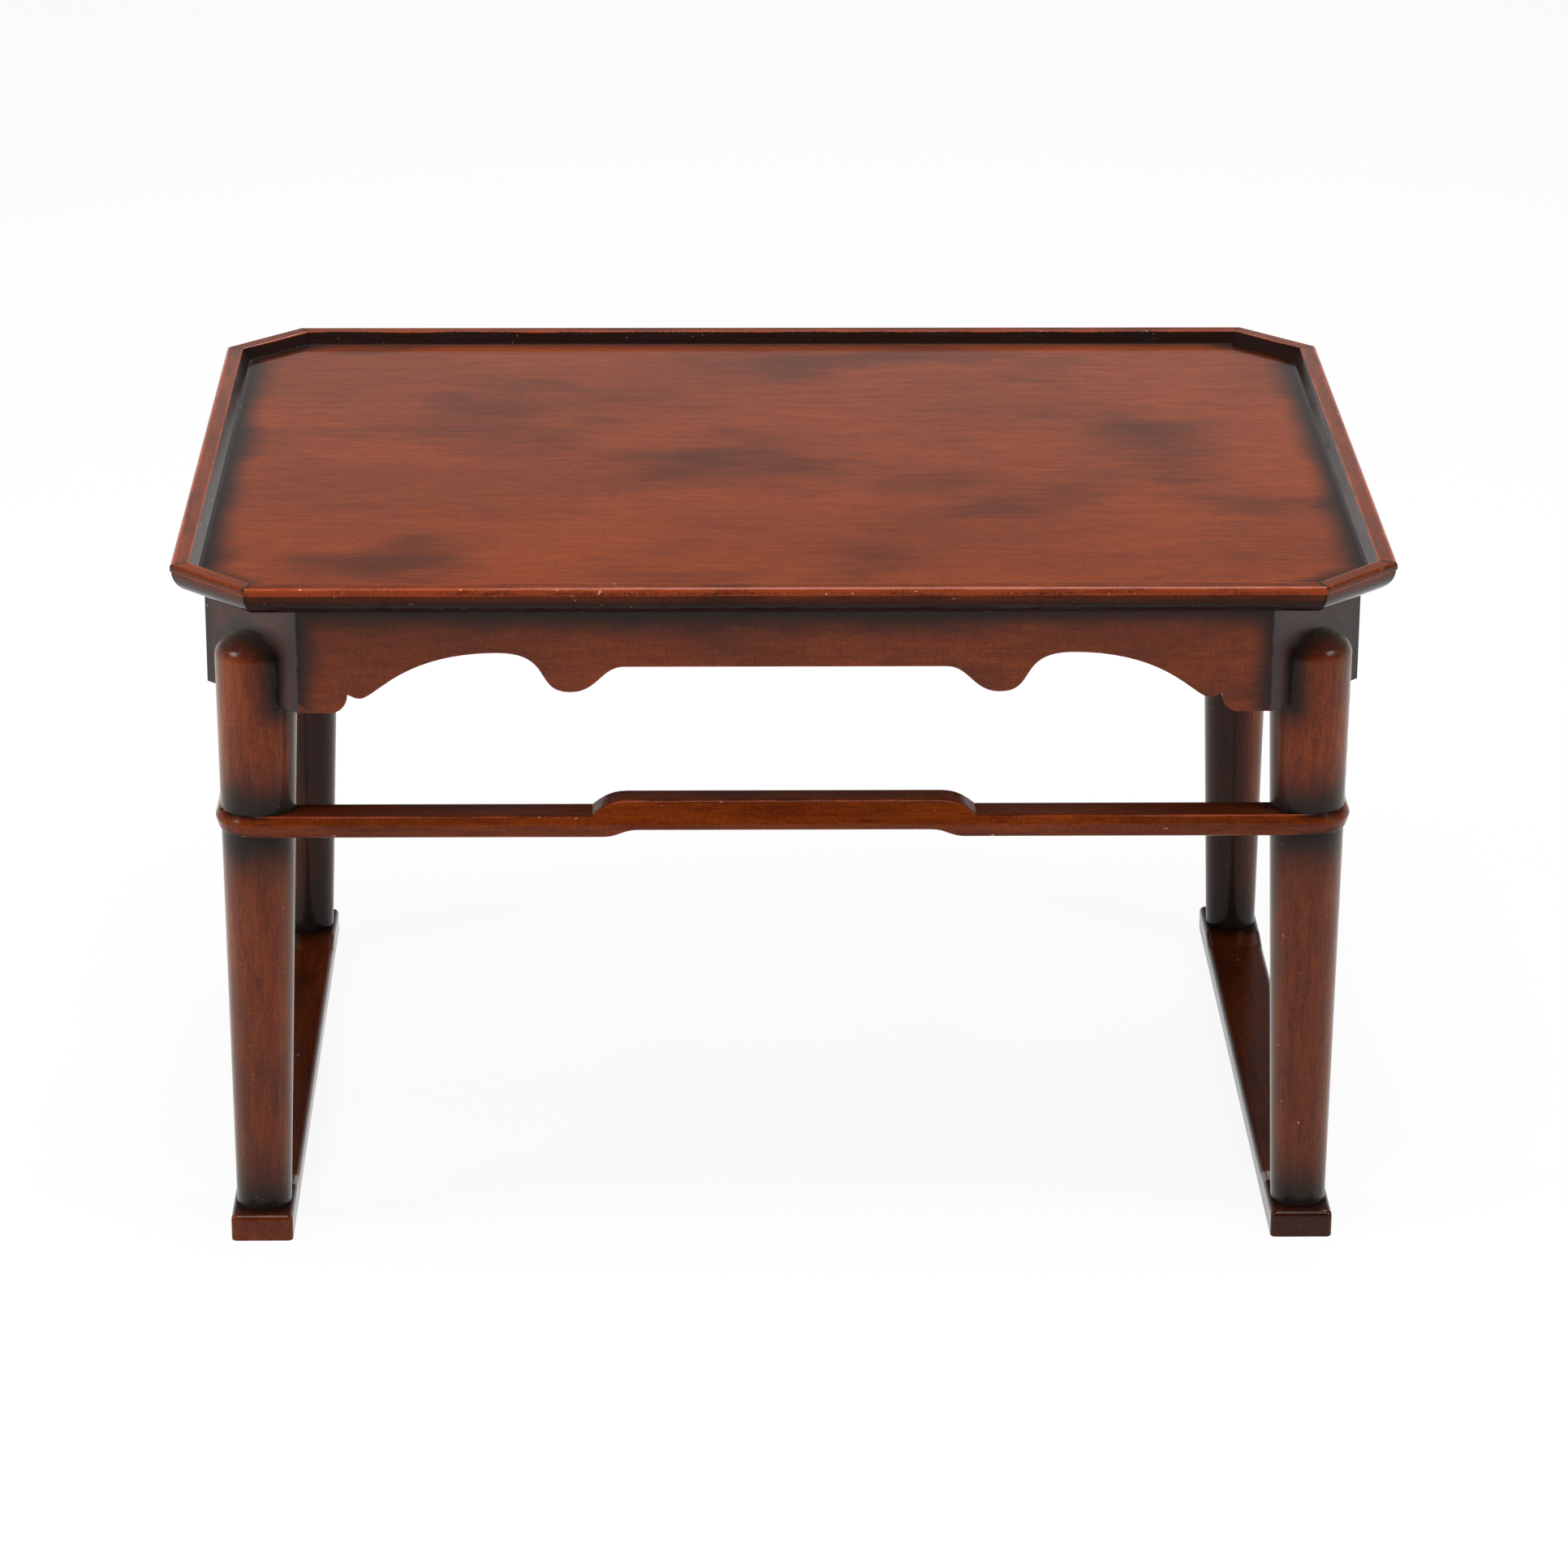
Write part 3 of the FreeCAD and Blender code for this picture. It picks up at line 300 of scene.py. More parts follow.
# Flakes get rarer up to this distance from an edge, by so much for each mm
FLAKE_REACH_MM = 1.1
FLAKE_LOSS = 0.06
GLOSS_RANGE = 0.16
# Relief of the film: pebbles in thick black, fine specks and the marks of the brush
PEBBLE_MM = 0.05
SPECK_MM = 0.010
BRUSH_MM = 0.012
ALONG_X, ALONG_Y, ALONG_Z = 0, 1, 2
APART = Vector((0.371, 0.613, 0.237))


def lacquer(name, grain, smoke_mm, clouds, worn, hatch=0.0, polish=0.24, turn=0.0, streaks=0.4, bloom=0.0,
            mirror=LACQUER_MIRROR, cloud_mm=30.0, calm=0.45, waves=0.09):
    """Satin lacquer over wood.

    grain is the axis of the wood and turn its turn about Z. smoke_mm is the width of the dark joints.
    clouds, worn, hatch, streaks and bloom go from none at 0 to full at 1. polish is the roughness,
    mirror the strength of the reflection, cloud_mm the size of the clouds, calm the evenness of the red,
    and waves the height of the waves from the brush in mm.
    """
    material = new_material(name)
    tree = material.node_tree
    place = add(tree, "ShaderNodeTexCoord").outputs["Object"]
    joint, edge, shade = [
        add(tree, "ShaderNodeAttribute", attribute_name=carried).outputs["Fac"]
        for carried in ("joint_mm", "edge_mm", "shade")
    ]
    patterns = dict(PATTERNS, cloud=(cloud_mm, CLOUD_STRETCH, CLOUD_DETAIL))
    if hatch:
        patterns.update(warp=CLOTH_THREAD, weft=CLOTH_THREAD)
    look = {}
    for number, (pattern, (cell_mm, stretch, detail)) in enumerate(patterns.items()):
        cell = Vector((cell_mm, cell_mm, cell_mm)) * MM
        cell[ALONG_Z if pattern == "weft" else grain] *= stretch
        spot = add(tree, "ShaderNodeMapping", {
            "Vector": place, "Location": APART * number, "Rotation": (0, 0, turn), "Scale": cell,
        }, vector_type="TEXTURE")
        look[pattern] = add(tree, "ShaderNodeTexNoise", {"Vector": spot, "Scale": 1.0, "Detail": detail})

    # Smoke: what is left clear after the joints, the clouds and each face's darkening; that darkening
    # is mostly the maker's shading, and in places painted shade and painted reflection
    reach = add(tree, "ShaderNodeMapRange", {
        "Value": look["cloud"], "From Min": 0.3, "From Max": 0.7,
        "To Min": smoke_mm * SMOKE_LEAST, "To Max": smoke_mm * SMOKE_MOST,
    })
    away = add(tree, "ShaderNodeMath", {0: joint, 1: reach}, operation="DIVIDE")
    clear = add(tree, "ShaderNodeMapRange", {
        "Value": away, "To Min": JOINT_CLEAR,
    }, interpolation_type="SMOOTHSTEP")
    ragged = add(tree, "ShaderNodeMath", {0: look["brush"], 1: streaks / 2, 2: look["cloud"]},
                 operation="MULTIPLY_ADD")
    open_sky = add(tree, "ShaderNodeMapRange", {
        "Value": ragged, "From Min": CLOUD_STARTS + streaks / 4, "From Max": CLOUD_FULL + streaks / 4,
        "To Min": 1.0, "To Max": 1.0 - clouds,
    }, interpolation_type="SMOOTHSTEP")
    clear = add(tree, "ShaderNodeMath", {0: clear, 1: open_sky}, operation="MULTIPLY")
    dimmer = add(tree, "ShaderNodeMapRange", {
        "Value": look["broad"], "From Min": 0.35, "From Max": 0.65, "To Min": 1.0, "To Max": 0.78,
    })
    clear = add(tree, "ShaderNodeMath", {0: clear, 1: dimmer}, operation="MULTIPLY")
    bare = add(tree, "ShaderNodeMath", {0: 1.0, 1: shade}, operation="SUBTRACT")
    clear = add(tree, "ShaderNodeMath", {0: clear, 1: bare}, operation="MULTIPLY")
    pores = add(tree, "ShaderNodeMapRange", {
        "Value": look["pore"], "From Min": 0.52, "From Max": 0.72, "To Min": 1.0, "To Max": 0.66,
    })
    clear = add(tree, "ShaderNodeMath", {0: clear, 1: pores}, operation="MULTIPLY")
    if hatch:
        cloth = add(tree, "ShaderNodeMath", {0: look["warp"], 1: look["weft"]}, operation="MAXIMUM")
        cloth = add(tree, "ShaderNodeMapRange", {
            "Value": cloth, "From Min": 0.48, "From Max": 0.72, "To Min": 1.0, "To Max": 1.0 - hatch,
        })
        clear = add(tree, "ShaderNodeMath", {0: clear, 1: cloth}, operation="MULTIPLY")
    depth = add(tree, "ShaderNodeMath", {0: look["brush"], 1: streaks, 2: look["mottle"]},
                operation="MULTIPLY_ADD")
    depth = add(tree, "ShaderNodeMath", {0: look["speck"], 1: GRIT, 2: depth}, operation="MULTIPLY_ADD")
    usual = MOTTLE_MIDDLE + (streaks + GRIT) / 2
    depth = add(tree, "ShaderNodeMapRange", {
        "Value": depth, "From Min": usual - calm / 2, "From Max": usual + calm / 2,
    })
    ground = add(tree, "ShaderNodeMix", {
        "Factor": depth, "A": linear(LACQUER_RED), "B": linear(LACQUER_DEEP),
    }, data_type="RGBA")
    colour = add(tree, "ShaderNodeMix", {
        "Factor": clear, "A": linear(LACQUER_SMOKE), "B": ground,
    }, data_type="RGBA")

    # Wear: rubbed red along the hard edges, and a few flakes down to the wood
    rub = add(tree, "ShaderNodeMath", {0: look["speck"], 1: RUB_SPECK_MM, 2: edge},
              operation="MULTIPLY_ADD")
    rub = add(tree, "ShaderNodeMath", {0: look["mottle"], 1: RUB_MOTTLE_MM, 2: rub},
              operation="MULTIPLY_ADD")
    rub = add(tree, "ShaderNodeMapRange", {
        "Value": rub, "From Min": RUB_END_MM, "From Max": RUB_FULL_MM, "To Max": worn,
    }, interpolation_type="SMOOTHSTEP")
    colour = add(tree, "ShaderNodeMix", {
        "Factor": rub, "A": colour, "B": linear(LACQUER_RUBBED),
    }, data_type="RGBA")
    inside = add(tree, "ShaderNodeMath", {0: edge, 1: FLAKE_REACH_MM}, operation="MINIMUM")
    flake = add(tree, "ShaderNodeMath", {0: inside, 1: -FLAKE_LOSS, 2: look["chip"]},
                operation="MULTIPLY_ADD")
    flake = add(tree, "ShaderNodeMapRange", {
        "Value": flake, "From Min": 0.70, "From Max": 0.73, "To Max": worn,
    })
    fleck = add(tree, "ShaderNodeMapRange", {
        "Value": look["speck"], "From Min": 0.77, "From Max": 0.80, "To Max": worn,
    })
    flake = add(tree, "ShaderNodeMath", {0: flake, 1: fleck}, operation="MAXIMUM")
    colour = add(tree, "ShaderNodeMix", {
        "Factor": flake, "A": colour, "B": linear(BARE_WOOD),
    }, data_type="RGBA")

    # Polish and relief: satin, with long waves from the brush, and pebbled where the black is thick
    gloss = add(tree, "ShaderNodeMath", {0: look["mottle"], 1: GLOSS_RANGE, 2: polish - GLOSS_RANGE / 2},
                operation="MULTIPLY_ADD")
    relief = add(tree, "ShaderNodeMath", {0: look["wave"], 1: waves}, operation="MULTIPLY")
    peel = add(tree, "ShaderNodeMath", {0: shade, 1: PEBBLE_MM, 2: SPECK_MM}, operation="MULTIPLY_ADD")
    relief = add(tree, "ShaderNodeMath", {0: look["speck"], 1: peel, 2: relief}, operation="MULTIPLY_ADD")
    relief = add(tree, "ShaderNodeMath", {0: look["brush"], 1: BRUSH_MM, 2: relief},
                 operation="MULTIPLY_ADD")
    bump = add(tree, "ShaderNodeBump", {"Height": relief, "Strength": 0.7, "Distance": MM})
    film = add(tree, "ShaderNodeBsdfPrincipled", {
        "Base Color": colour, "Roughness": gloss, "Normal": bump,
        "IOR": LACQUER_IOR, "Specular IOR Level": mirror,
        "Sheen Weight": bloom, "Sheen Roughness": BLOOM_ROUGHNESS, "Sheen Tint": linear(BLOOM_TINT),
    })
    add(tree, "ShaderNodeOutputMaterial", {"Surface": film})
    return material


# %% The finishes
DIAGONAL = math.radians(45)
finishes = {
    "tray": lacquer("lacquered_tray_board", ALONG_X, 13, 0.55, 0.0, 0.2, 0.09, streaks=0.3, mirror=0.24,
                    cloud_mm=44, calm=0.8, waves=0.02),
    "rim_x": lacquer("lacquered_rim_long", ALONG_X, 1.2, 0.4, 0.8, 0.0, 0.15, mirror=0.1),
    "rim_y": lacquer("lacquered_rim_short", ALONG_Y, 1.2, 0.4, 0.8, 0.0, 0.15, mirror=0.7, waves=0.02),
    "rim_rising": lacquer("lacquered_rim_corner_rising", ALONG_X, 1.2, 0.4, 0.8, 0.0, 0.15, DIAGONAL),
    "rim_falling": lacquer("lacquered_rim_corner_falling", ALONG_X, 1.2, 0.4, 0.8, 0.0, 0.15, -DIAGONAL),
    "apron_x": lacquer("lacquered_apron_long", ALONG_X, 12, 0.45, 0.28, 0.32, 0.34, streaks=0.2,
                       calm=0.8),
    "apron_y": lacquer("lacquered_apron_short", ALONG_Y, 12, 0.45, 0.28, 0.32, 0.34, streaks=0.2,
                       calm=0.8),
    "apron_rising": lacquer("lacquered_apron_corner_rising", ALONG_X, 10, 0.4, 0.4, 0.35, 0.34,
                            DIAGONAL, mirror=0.5),
    "apron_falling": lacquer("lacquered_apron_corner_falling", ALONG_X, 10, 0.4, 0.4, 0.35, 0.34,
                             -DIAGONAL, mirror=0.5),
    "leg": lacquer("lacquered_turned_leg", ALONG_Z, 12, 0.5, 0.7, 0.3, 0.19, streaks=0.2, bloom=0.5,
                   mirror=0.14),
    "bar_x": lacquer("lacquered_stretcher_long", ALONG_X, 4, 0.45, 0.7, 0.0, 0.17, mirror=0.15),
    "bar_y": lacquer("lacquered_stretcher_short", ALONG_Y, 4, 0.45, 0.7, 0.0, 0.17, mirror=0.15),
    "rail": lacquer("lacquered_foot_rail", ALONG_Y, 14, 0.6, 0.6, 0.0, 0.17, mirror=0.2),
}
print("finishes:", ", ".join(finishes))

# %% [markdown]
# ## Working a piece
# A planed edge is never knife sharp: the maker eases it, and the film rounds it further. A bevel
# modifier could do that, but only an edge that the hand could reach was eased. An edge that lies on a
# neighbour is a joint line and stays sharp, so that the pieces close up. A search tree over the other
# pieces tells the two apart, and bmesh bevels the free ones. Where short edges meet, the bevel is held
# back so that it doesn't cross itself, but on the stretchers it keeps its full width. Cuts across the
# faces then give the surface enough points to carry measures.

# %% Copying, easing and cutting
MERGE = 0.002 * MM
FLAT_ANGLE = math.radians(0.3)
HARD_ANGLE = math.radians(24)
TOUCH = 0.35 * MM
ROUND_STEPS = 3
ROUND_PROFILE = 0.5
CUT_MERGE = 0.0001 * MM
solid_trees = {
    name: BVHTree.FromObject(item, bpy.context.evaluated_depsgraph_get()) for name, item in nodes.items()
}


def merged_copy(node_name):
    """A node's mesh with its loose triangles sewn and its flat faces joined."""
    bm = bmesh.new()
    bm.from_mesh(nodes[node_name].data)
    bmesh.ops.remove_doubles(bm, verts=bm.verts, dist=MERGE)
    bmesh.ops.dissolve_limit(bm, angle_limit=FLAT_ANGLE, verts=bm.verts, edges=bm.edges)
    return bm


def outward_corners(bm, least_angle):
    """Edges where two faces meet in an outward corner of at least an angle."""
    return [edge for edge in bm.edges if edge.is_manifold and edge.calc_face_angle_signed() > least_angle]


def free_edges(edges, node_name):
    """Those of the edges that touch no other piece."""
    others = [search for name, search in solid_trees.items() if name != node_name]

    def is_free(edge):
        middle = (edge.verts[0].co + edge.verts[1].co) / 2
        return not any(search.find_nearest(middle, TOUCH)[0] for search in others)

    return [edge for edge in edges if is_free(edge)]


def ease(bm, edges, width_mm, narrow_where_tight):
    """Rounds edges, narrower where short edges meet if the rounding must not cross itself."""
    bmesh.ops.bevel(bm, geom=edges, offset=width_mm * MM, offset_type="OFFSET", segments=ROUND_STEPS,
                    profile=ROUND_PROFILE, affect="EDGES", clamp_overlap=narrow_where_tight,
                    loop_slide=True)


def cut_across(bm, axis, step_mm):
    """Cuts a mesh into even slices along an axis."""
    places = [vert.co[axis] for vert in bm.verts]
    low, high = min(places), max(places)
    normal = Vector((axis == ALONG_X, axis == ALONG_Y, axis == ALONG_Z))
    count = max(1, round((high - low) / (step_mm * MM)))
    for step in range(1, count):
        everything = list(bm.verts) + list(bm.edges) + list(bm.faces)
        spot = normal * (low + (high - low) * step / count)
        bmesh.ops.bisect_plane(bm, geom=everything, dist=CUT_MERGE, plane_co=spot, plane_no=normal)


def new_object(name, bm):
    """An object in the scene with a copy of the mesh."""
    mesh = bpy.data.meshes.new(name)
    bm.to_mesh(mesh)
    made = bpy.data.objects.new(name, mesh)
    bpy.context.scene.collection.objects.link(made)
    return made


print("search trees:", len(solid_trees))

# %% [markdown]
# ## Measuring edges and joints
# Wear follows the hard edges and smoke follows the joints, so each point needs its distance to both.
# Geometry Nodes measure it, because a proximity search is one node there: one search runs against the
# edges of the sharp piece that are marked as rubbed, the other against the pieces that it is joined
# to. Both are stored on the mesh, in millimetres, for the lacquer to read.

# %% The measuring tree
measuring = bpy.data.node_groups.new("edges_and_joints", "GeometryNodeTree")
for name, kind in (("Geometry", "Geometry"), ("Sharp piece", "Object"), ("Neighbours", "Collection"),
                   ("Finish", "Material")):
    measuring.interface.new_socket(name, in_out="INPUT", socket_type=f"NodeSocket{kind}")
measuring.interface.new_socket("Geometry", in_out="OUTPUT", socket_type="NodeSocketGeometry")
given = add(measuring, "NodeGroupInput").outputs
sharp = add(measuring, "GeometryNodeObjectInfo", {"Object": given["Sharp piece"]}).outputs["Geometry"]
rubbed = add(measuring, "GeometryNodeInputNamedAttribute", {"Name": "rubbed"}, data_type="FLOAT")
lines = add(measuring, "GeometryNodeSeparateGeometry", {
    "Geometry": sharp, "Selection": rubbed,
}, domain="EDGE")
joined = add(measuring, "GeometryNodeCollectionInfo", {"Collection": given["Neighbours"]})
joined = add(measuring, "GeometryNodeRealizeInstances", {"Geometry": joined})
shape = given["Geometry"]
NONE_NEAR = 1.0
for name, target, element in (("edge_mm", lines, "EDGES"), ("joint_mm", joined, "FACES")):
    search = add(measuring, "GeometryNodeProximity", {0: target}, target_element=element).outputs
    near = add(measuring, "GeometryNodeSwitch", {
        "Switch": search["Is Valid"], "False": NONE_NEAR, "True": search["Distance"],
    }, input_type="FLOAT")
    in_mm = add(measuring, "ShaderNodeMath", {0: near, 1: MM}, operation="DIVIDE")
    shape = add(measuring, "GeometryNodeStoreNamedAttribute", {
        "Geometry": shape, "Name": name, "Value": in_mm,
    }, data_type="FLOAT", domain="POINT")
whole = add(measuring, "GeometryNodeRealizeInstances", {"Geometry": shape})
dressed = add(measuring, "GeometryNodeSetMaterial", {"Geometry": whole, "Material": given["Finish"]})
add(measuring, "NodeGroupOutput", {0: dressed})
inputs = {item.name: item.identifier for item in measuring.interface.items_tree if item.in_out == "INPUT"}
print("inputs:", ", ".join(inputs))

# %% Dressing a piece
SMOOTH_ANGLE = math.radians(35)
made_pieces = {}


def dress(node_name, finish, joined_to, ease_mm, cuts, shade, rubbed_angle=HARD_ANGLE,
          rubbed_joints=False, narrow_where_tight=True):
    """Makes the piece that stands for a node: eased, cut, shaded, measured and lacquered.

    cuts are pairs of an axis and a step in mm. shade turns a face's normal and a spot in mm into a
    darkness from 0 to 1.
    """
    bm = merged_copy(node_name)
    rubbed = bm.edges.layers.float.new("rubbed")
    corners = outward_corners(bm, rubbed_angle)
    for edge in corners if rubbed_joints else free_edges(corners, node_name):
        edge[rubbed] = 1.0
    sharp_piece = new_object(f"{node_name}_sharp", bm)
    bm.edges.layers.float.remove(rubbed)
    if ease_mm:
        ease(bm, free_edges(outward_corners(bm, HARD_ANGLE), node_name), ease_mm, narrow_where_tight)
    for axis, step_mm in cuts:
        cut_across(bm, axis, step_mm)
    layer = bm.loops.layers.float.new("shade")
    for face in bm.faces:
        face.smooth = True
        for loop in face.loops:
            loop[layer] = shade(face.normal, loop.vert.co / MM)
    for edge in bm.edges:
        edge.smooth = edge.calc_face_angle(0.0) < SMOOTH_ANGLE
    piece = new_object(f"{node_name}_piece", bm)
    bm.free()
    neighbours = bpy.data.collections.new(f"{node_name}_neighbours")
    for name in joined_to:
        neighbours.objects.link(nodes[name])
    piece.modifiers.new("flat_faces_stay_flat", "WEIGHTED_NORMAL").keep_sharp = True
    measures = piece.modifiers.new("measures", "NODES")
    measures.node_group = measuring
    measures[inputs["Sharp piece"]] = sharp_piece
    measures[inputs["Neighbours"]] = neighbours
    measures[inputs["Finish"]] = finish
    depsgraph = bpy.context.evaluated_depsgraph_get()
    made = bpy.data.meshes.new_from_object(piece.evaluated_get(depsgraph), depsgraph=depsgraph)
    piece.modifiers.clear()
    piece.data = made
    bpy.data.collections.remove(neighbours)
    bpy.data.objects.remove(sharp_piece)
    made_pieces[node_name] = piece


def soft_step(value, start, end):
    """0 before start, 1 after end, and a smooth way between."""
    share = max(0.0, min(1.0, (value - start) / (end - start)))
    return share * share * (3 - 2 * share)


print("ready to dress", len(nodes), "nodes")

# %% [markdown]
# ## Tray
# The tray is one broad board, lacquered red and clouded with soft dark patches along the grain. The
# smoke is thick where the board runs under the rim at the sides and thin along the front and rear, so
# only the side and corner strips count as its joints. At the rear a narrow band under the wall is
# darkened as painted shade and painted reflection of the black wall, and the underside was only wiped
# dark.

# %% Tray
CORNERS = ["front_left", "front_right", "rear_left", "rear_right"]
SIDES = ["front", "right", "rear", "left"]
rim_names = [f"rim_{side}" for side in SIDES] + [f"rim_corner_{corner}" for corner in CORNERS]
side_rims = [name for name in rim_names if name not in ("rim_front", "rim_rear")]
UNDERSIDE_DARK = 0.75
# A band of painted shade and painted reflection of the black rear wall, on the tray under that wall
REAR_PAINTED_SHADE = 0.6
REAR_SHADE_BAND_MM = 8.0
REAR_FULL_MM = 1.0
board_rear_mm = -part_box("rim_front")[1].y / MM


def tray_shade(normal, spot):
    """Dark under the board, and painted shade and reflection of the black rear wall in the band under it.
    """
    if normal.z < 0:
        return UNDERSIDE_DARK
    return REAR_PAINTED_SHADE * soft_step(spot.y, board_rear_mm - REAR_SHADE_BAND_MM, board_rear_mm - REAR_FULL_MM)


dress("tray_panel", finishes["tray"], side_rims, 0.0, [(ALONG_X, 6), (ALONG_Y, 3)], tray_shade)
print("tray faces:", len(made_pieces["tray_panel"].data.polygons))

# %% [markdown]
# ## Rim
# Eight moulded strips are mitred into a frame. The lip is bright red and rubbed, the sloping inner
# wall is black, and the rounded underside goes from red just below the lip to black where it meets
# the apron. That is a rule of height and of which way a face looks, so it is written as one.

# %% Rim
rim_top_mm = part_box("rim_front")[1].z / MM
LIP_MM = 3.4
LIP_EDGE_ANGLE = math.radians(14)
WALL_DARK = 0.97
TOP_DARK = 0.25
LIP_DARK = 0.42
UNDER_DARK = 0.96
UNDER_STARTS_MM = -0.8
UNDER_FULL_MM = 4.0
FACES_IN = 0.3
FACES_UP = 0.6
RIM_EASE_MM = 0.45


def rim_shade(node_name):
    """The rule for one strip: black wall, red top, and an underside that goes from red to black."""
    low, high = [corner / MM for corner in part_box(node_name)]
    middle = (low + high) / 2
    inward = Vector((-middle.x, -middle.y, 0))
    if "corner" not in node_name:
        inward = Vector((0, inward.y, 0)) if high.x - low.x > high.y - low.y else Vector((inward.x, 0, 0))
    inward.normalize()

    def shade(normal, spot):
        below_lip_mm = rim_top_mm - LIP_MM - spot.z
        if normal.dot(inward) > FACES_IN or below_lip_mm > 0 and normal.z > FACES_UP:
            return WALL_DARK
        if normal.z > FACES_UP:
            return TOP_DARK
        under = soft_step(below_lip_mm, UNDER_STARTS_MM, UNDER_FULL_MM)
        return LIP_DARK + (UNDER_DARK - LIP_DARK) * under

    return shade


for name in rim_names:
    if name in ("rim_front", "rim_rear"):
        finish, cuts = "rim_x", [(ALONG_X, 6), (ALONG_Y, 1.6), (ALONG_Z, 1.5)]
    elif name in ("rim_left", "rim_right"):
        finish, cuts = "rim_y", [(ALONG_Y, 6), (ALONG_X, 1.6), (ALONG_Z, 1.5)]
    else:
        finish = "rim_falling" if name.endswith(("front_left", "rear_right")) else "rim_rising"
        cuts = [(ALONG_X, 2), (ALONG_Y, 2), (ALONG_Z, 1.5)]
    others = [other for other in rim_names if other != name]
    dress(name, finishes[finish], others, RIM_EASE_MM, cuts, rim_shade(name), LIP_EDGE_ANGLE)
print("rim strips:", len(rim_names))

# %% [markdown]
# ## Apron
# The straight boards have a cut lower edge and a cloth-like texture from the ground under the
# lacquer. The boards across the corners are smokier all over. Inside, where nobody looks, the boards
# were only wiped dark.

# %% Apron
APRON_INSIDE_DARK = 0.8
CORNER_BOARD_DARK = 0.55
FAR_INSIDE_MM = 60.0
APRON_EASE_MM = 0.5
apron_corners = [f"apron_corner_{corner}" for corner in CORNERS]


def looks_in(normal, spot):
    """Whether a face is turned to the middle of the table."""
    return normal.dot(Vector((spot.x, spot.y, 0))) < -FAR_INSIDE_MM


def board_shade(dark):
    """The rule for a board: one darkness inside and another outside."""
    return lambda normal, spot: APRON_INSIDE_DARK if looks_in(normal, spot) else dark


for side in SIDES:
    along, across = (ALONG_X, ALONG_Y) if side in ("front", "rear") else (ALONG_Y, ALONG_X)
    dress(f"apron_{side}", finishes["apron_x" if along == ALONG_X else "apron_y"],
          [f"rim_{side}", *apron_corners], APRON_EASE_MM, [(along, 4), (ALONG_Z, 4), (across, 1.5)],
          board_shade(0.0), rubbed_joints=True)
for corner in CORNERS:
    front, hand = corner.split("_")
    finish = "apron_falling" if corner in ("front_left", "rear_right") else "apron_rising"
    joined_to = [f"leg_{corner}", f"rim_corner_{corner}", f"apron_{front}", f"apron_{hand}"]
    dress(f"apron_corner_{corner}", finishes[finish], joined_to, APRON_EASE_MM,
          [(ALONG_X, 3), (ALONG_Z, 4)], board_shade(CORNER_BOARD_DARK))
print("apron boards:", len(SIDES) + len(CORNERS))

# %% [markdown]
# ## Legs
# Each leg is turned, tapers to its foot and is slotted over a corner board. Its outer face is red;
# the smoke lies round the joints, on the dome and on the side that looks under the table. The dark
# dome is partly painted reflection of the black rim underside above it. No two legs are equally dark:
# the rear ones are darker than the front ones, which is painted shade for the shadow under the table,
# and the lighter legs get darker below the stretchers.

# %% Legs
NEVER_RUBBED = math.pi
# How dark each leg is; the high values of the rear legs are painted shade, as they stand under the table
LEG_DARK_AND_SHADE = {"front_left": 0.03, "front_right": 0.08, "rear_left": 0.6, "rear_right": 0.25}
LEG_DARK_FOOT = 0.3
LEG_INSIDE_DARK = 0.85
# Dome tops: smoke, and painted reflection of the dark rim underside above them
LEG_DOME_SMOKE_AND_REFLECTION = 0.4
TIE_DARK = 0.75
TIE_SMOKE_MM = 24.0
FOOT_SMOKE_MM = 30.0
FULL_SMOKE_MM = 3.0
INSIDE_STARTS, INSIDE_FULL = -0.2, 0.7
DOME_STARTS, DOME_FULL = 0.1, 0.7
LEG_EASE_MM = 0.5
tie_low_mm, tie_high_mm = [corner.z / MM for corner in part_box("stretcher_left")]
rail_top_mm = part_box("foot_rail_left")[1].z / MM


def leg_shade(inward, dark):
    """The rule for one leg: dark inside, on the dome (smoke and painted reflection), round the stretchers
    and at the foot.
    """
    def shade(normal, spot):
        inside = LEG_INSIDE_DARK * soft_step(normal.dot(inward), INSIDE_STARTS, INSIDE_FULL)
        dome = LEG_DOME_SMOKE_AND_REFLECTION * soft_step(normal.z, DOME_STARTS, DOME_FULL)
        from_tie = max(tie_low_mm - spot.z, spot.z - tie_high_mm, 0.0)
        tie = TIE_DARK * max(soft_step(from_tie, TIE_SMOKE_MM, FULL_SMOKE_MM),
                             soft_step(spot.z - rail_top_mm, FOOT_SMOKE_MM, FULL_SMOKE_MM))
        # On the rear legs this darkness is mostly painted shade
        plain = dark if spot.z > tie_low_mm else max(dark, LEG_DARK_FOOT)
        return 1 - (1 - max(plain, inside, dome)) * (1 - tie)

    return shade


for corner in CORNERS:
    front, hand = corner.split("_")
    inward = Vector((-1 if hand == "right" else 1, -1 if front == "rear" else 1, 0)).normalized()
    joined_to = [f"apron_corner_{corner}", f"stretcher_{front}", f"stretcher_{hand}", f"foot_rail_{hand}"]
    dress(f"leg_{corner}", finishes["leg"], joined_to, LEG_EASE_MM, [(ALONG_Z, 4)],
          leg_shade(inward, LEG_DARK_AND_SHADE[corner]), NEVER_RUBBED)
print("legs:", len(CORNERS))

# %% [markdown]
# ## Stretchers
# The four bars wrap the legs and meet in a mitre. Their tops and backs are dark, the tops partly as
# painted shadow of the tray above, and the sloping outer faces are red, with a thin rubbed line along
# the upper corner.

# %% Stretchers
BAR_DARK = 0.25
# Tops and backs: smoke, and on the tops painted shadow of the tray above
BAR_TOP_SMOKE_AND_SHADE = 0.6
BAR_TOP_EDGE = math.radians(52)
BAR_FACES_UP = 0.8
BAR_EASE_MM = 0.9


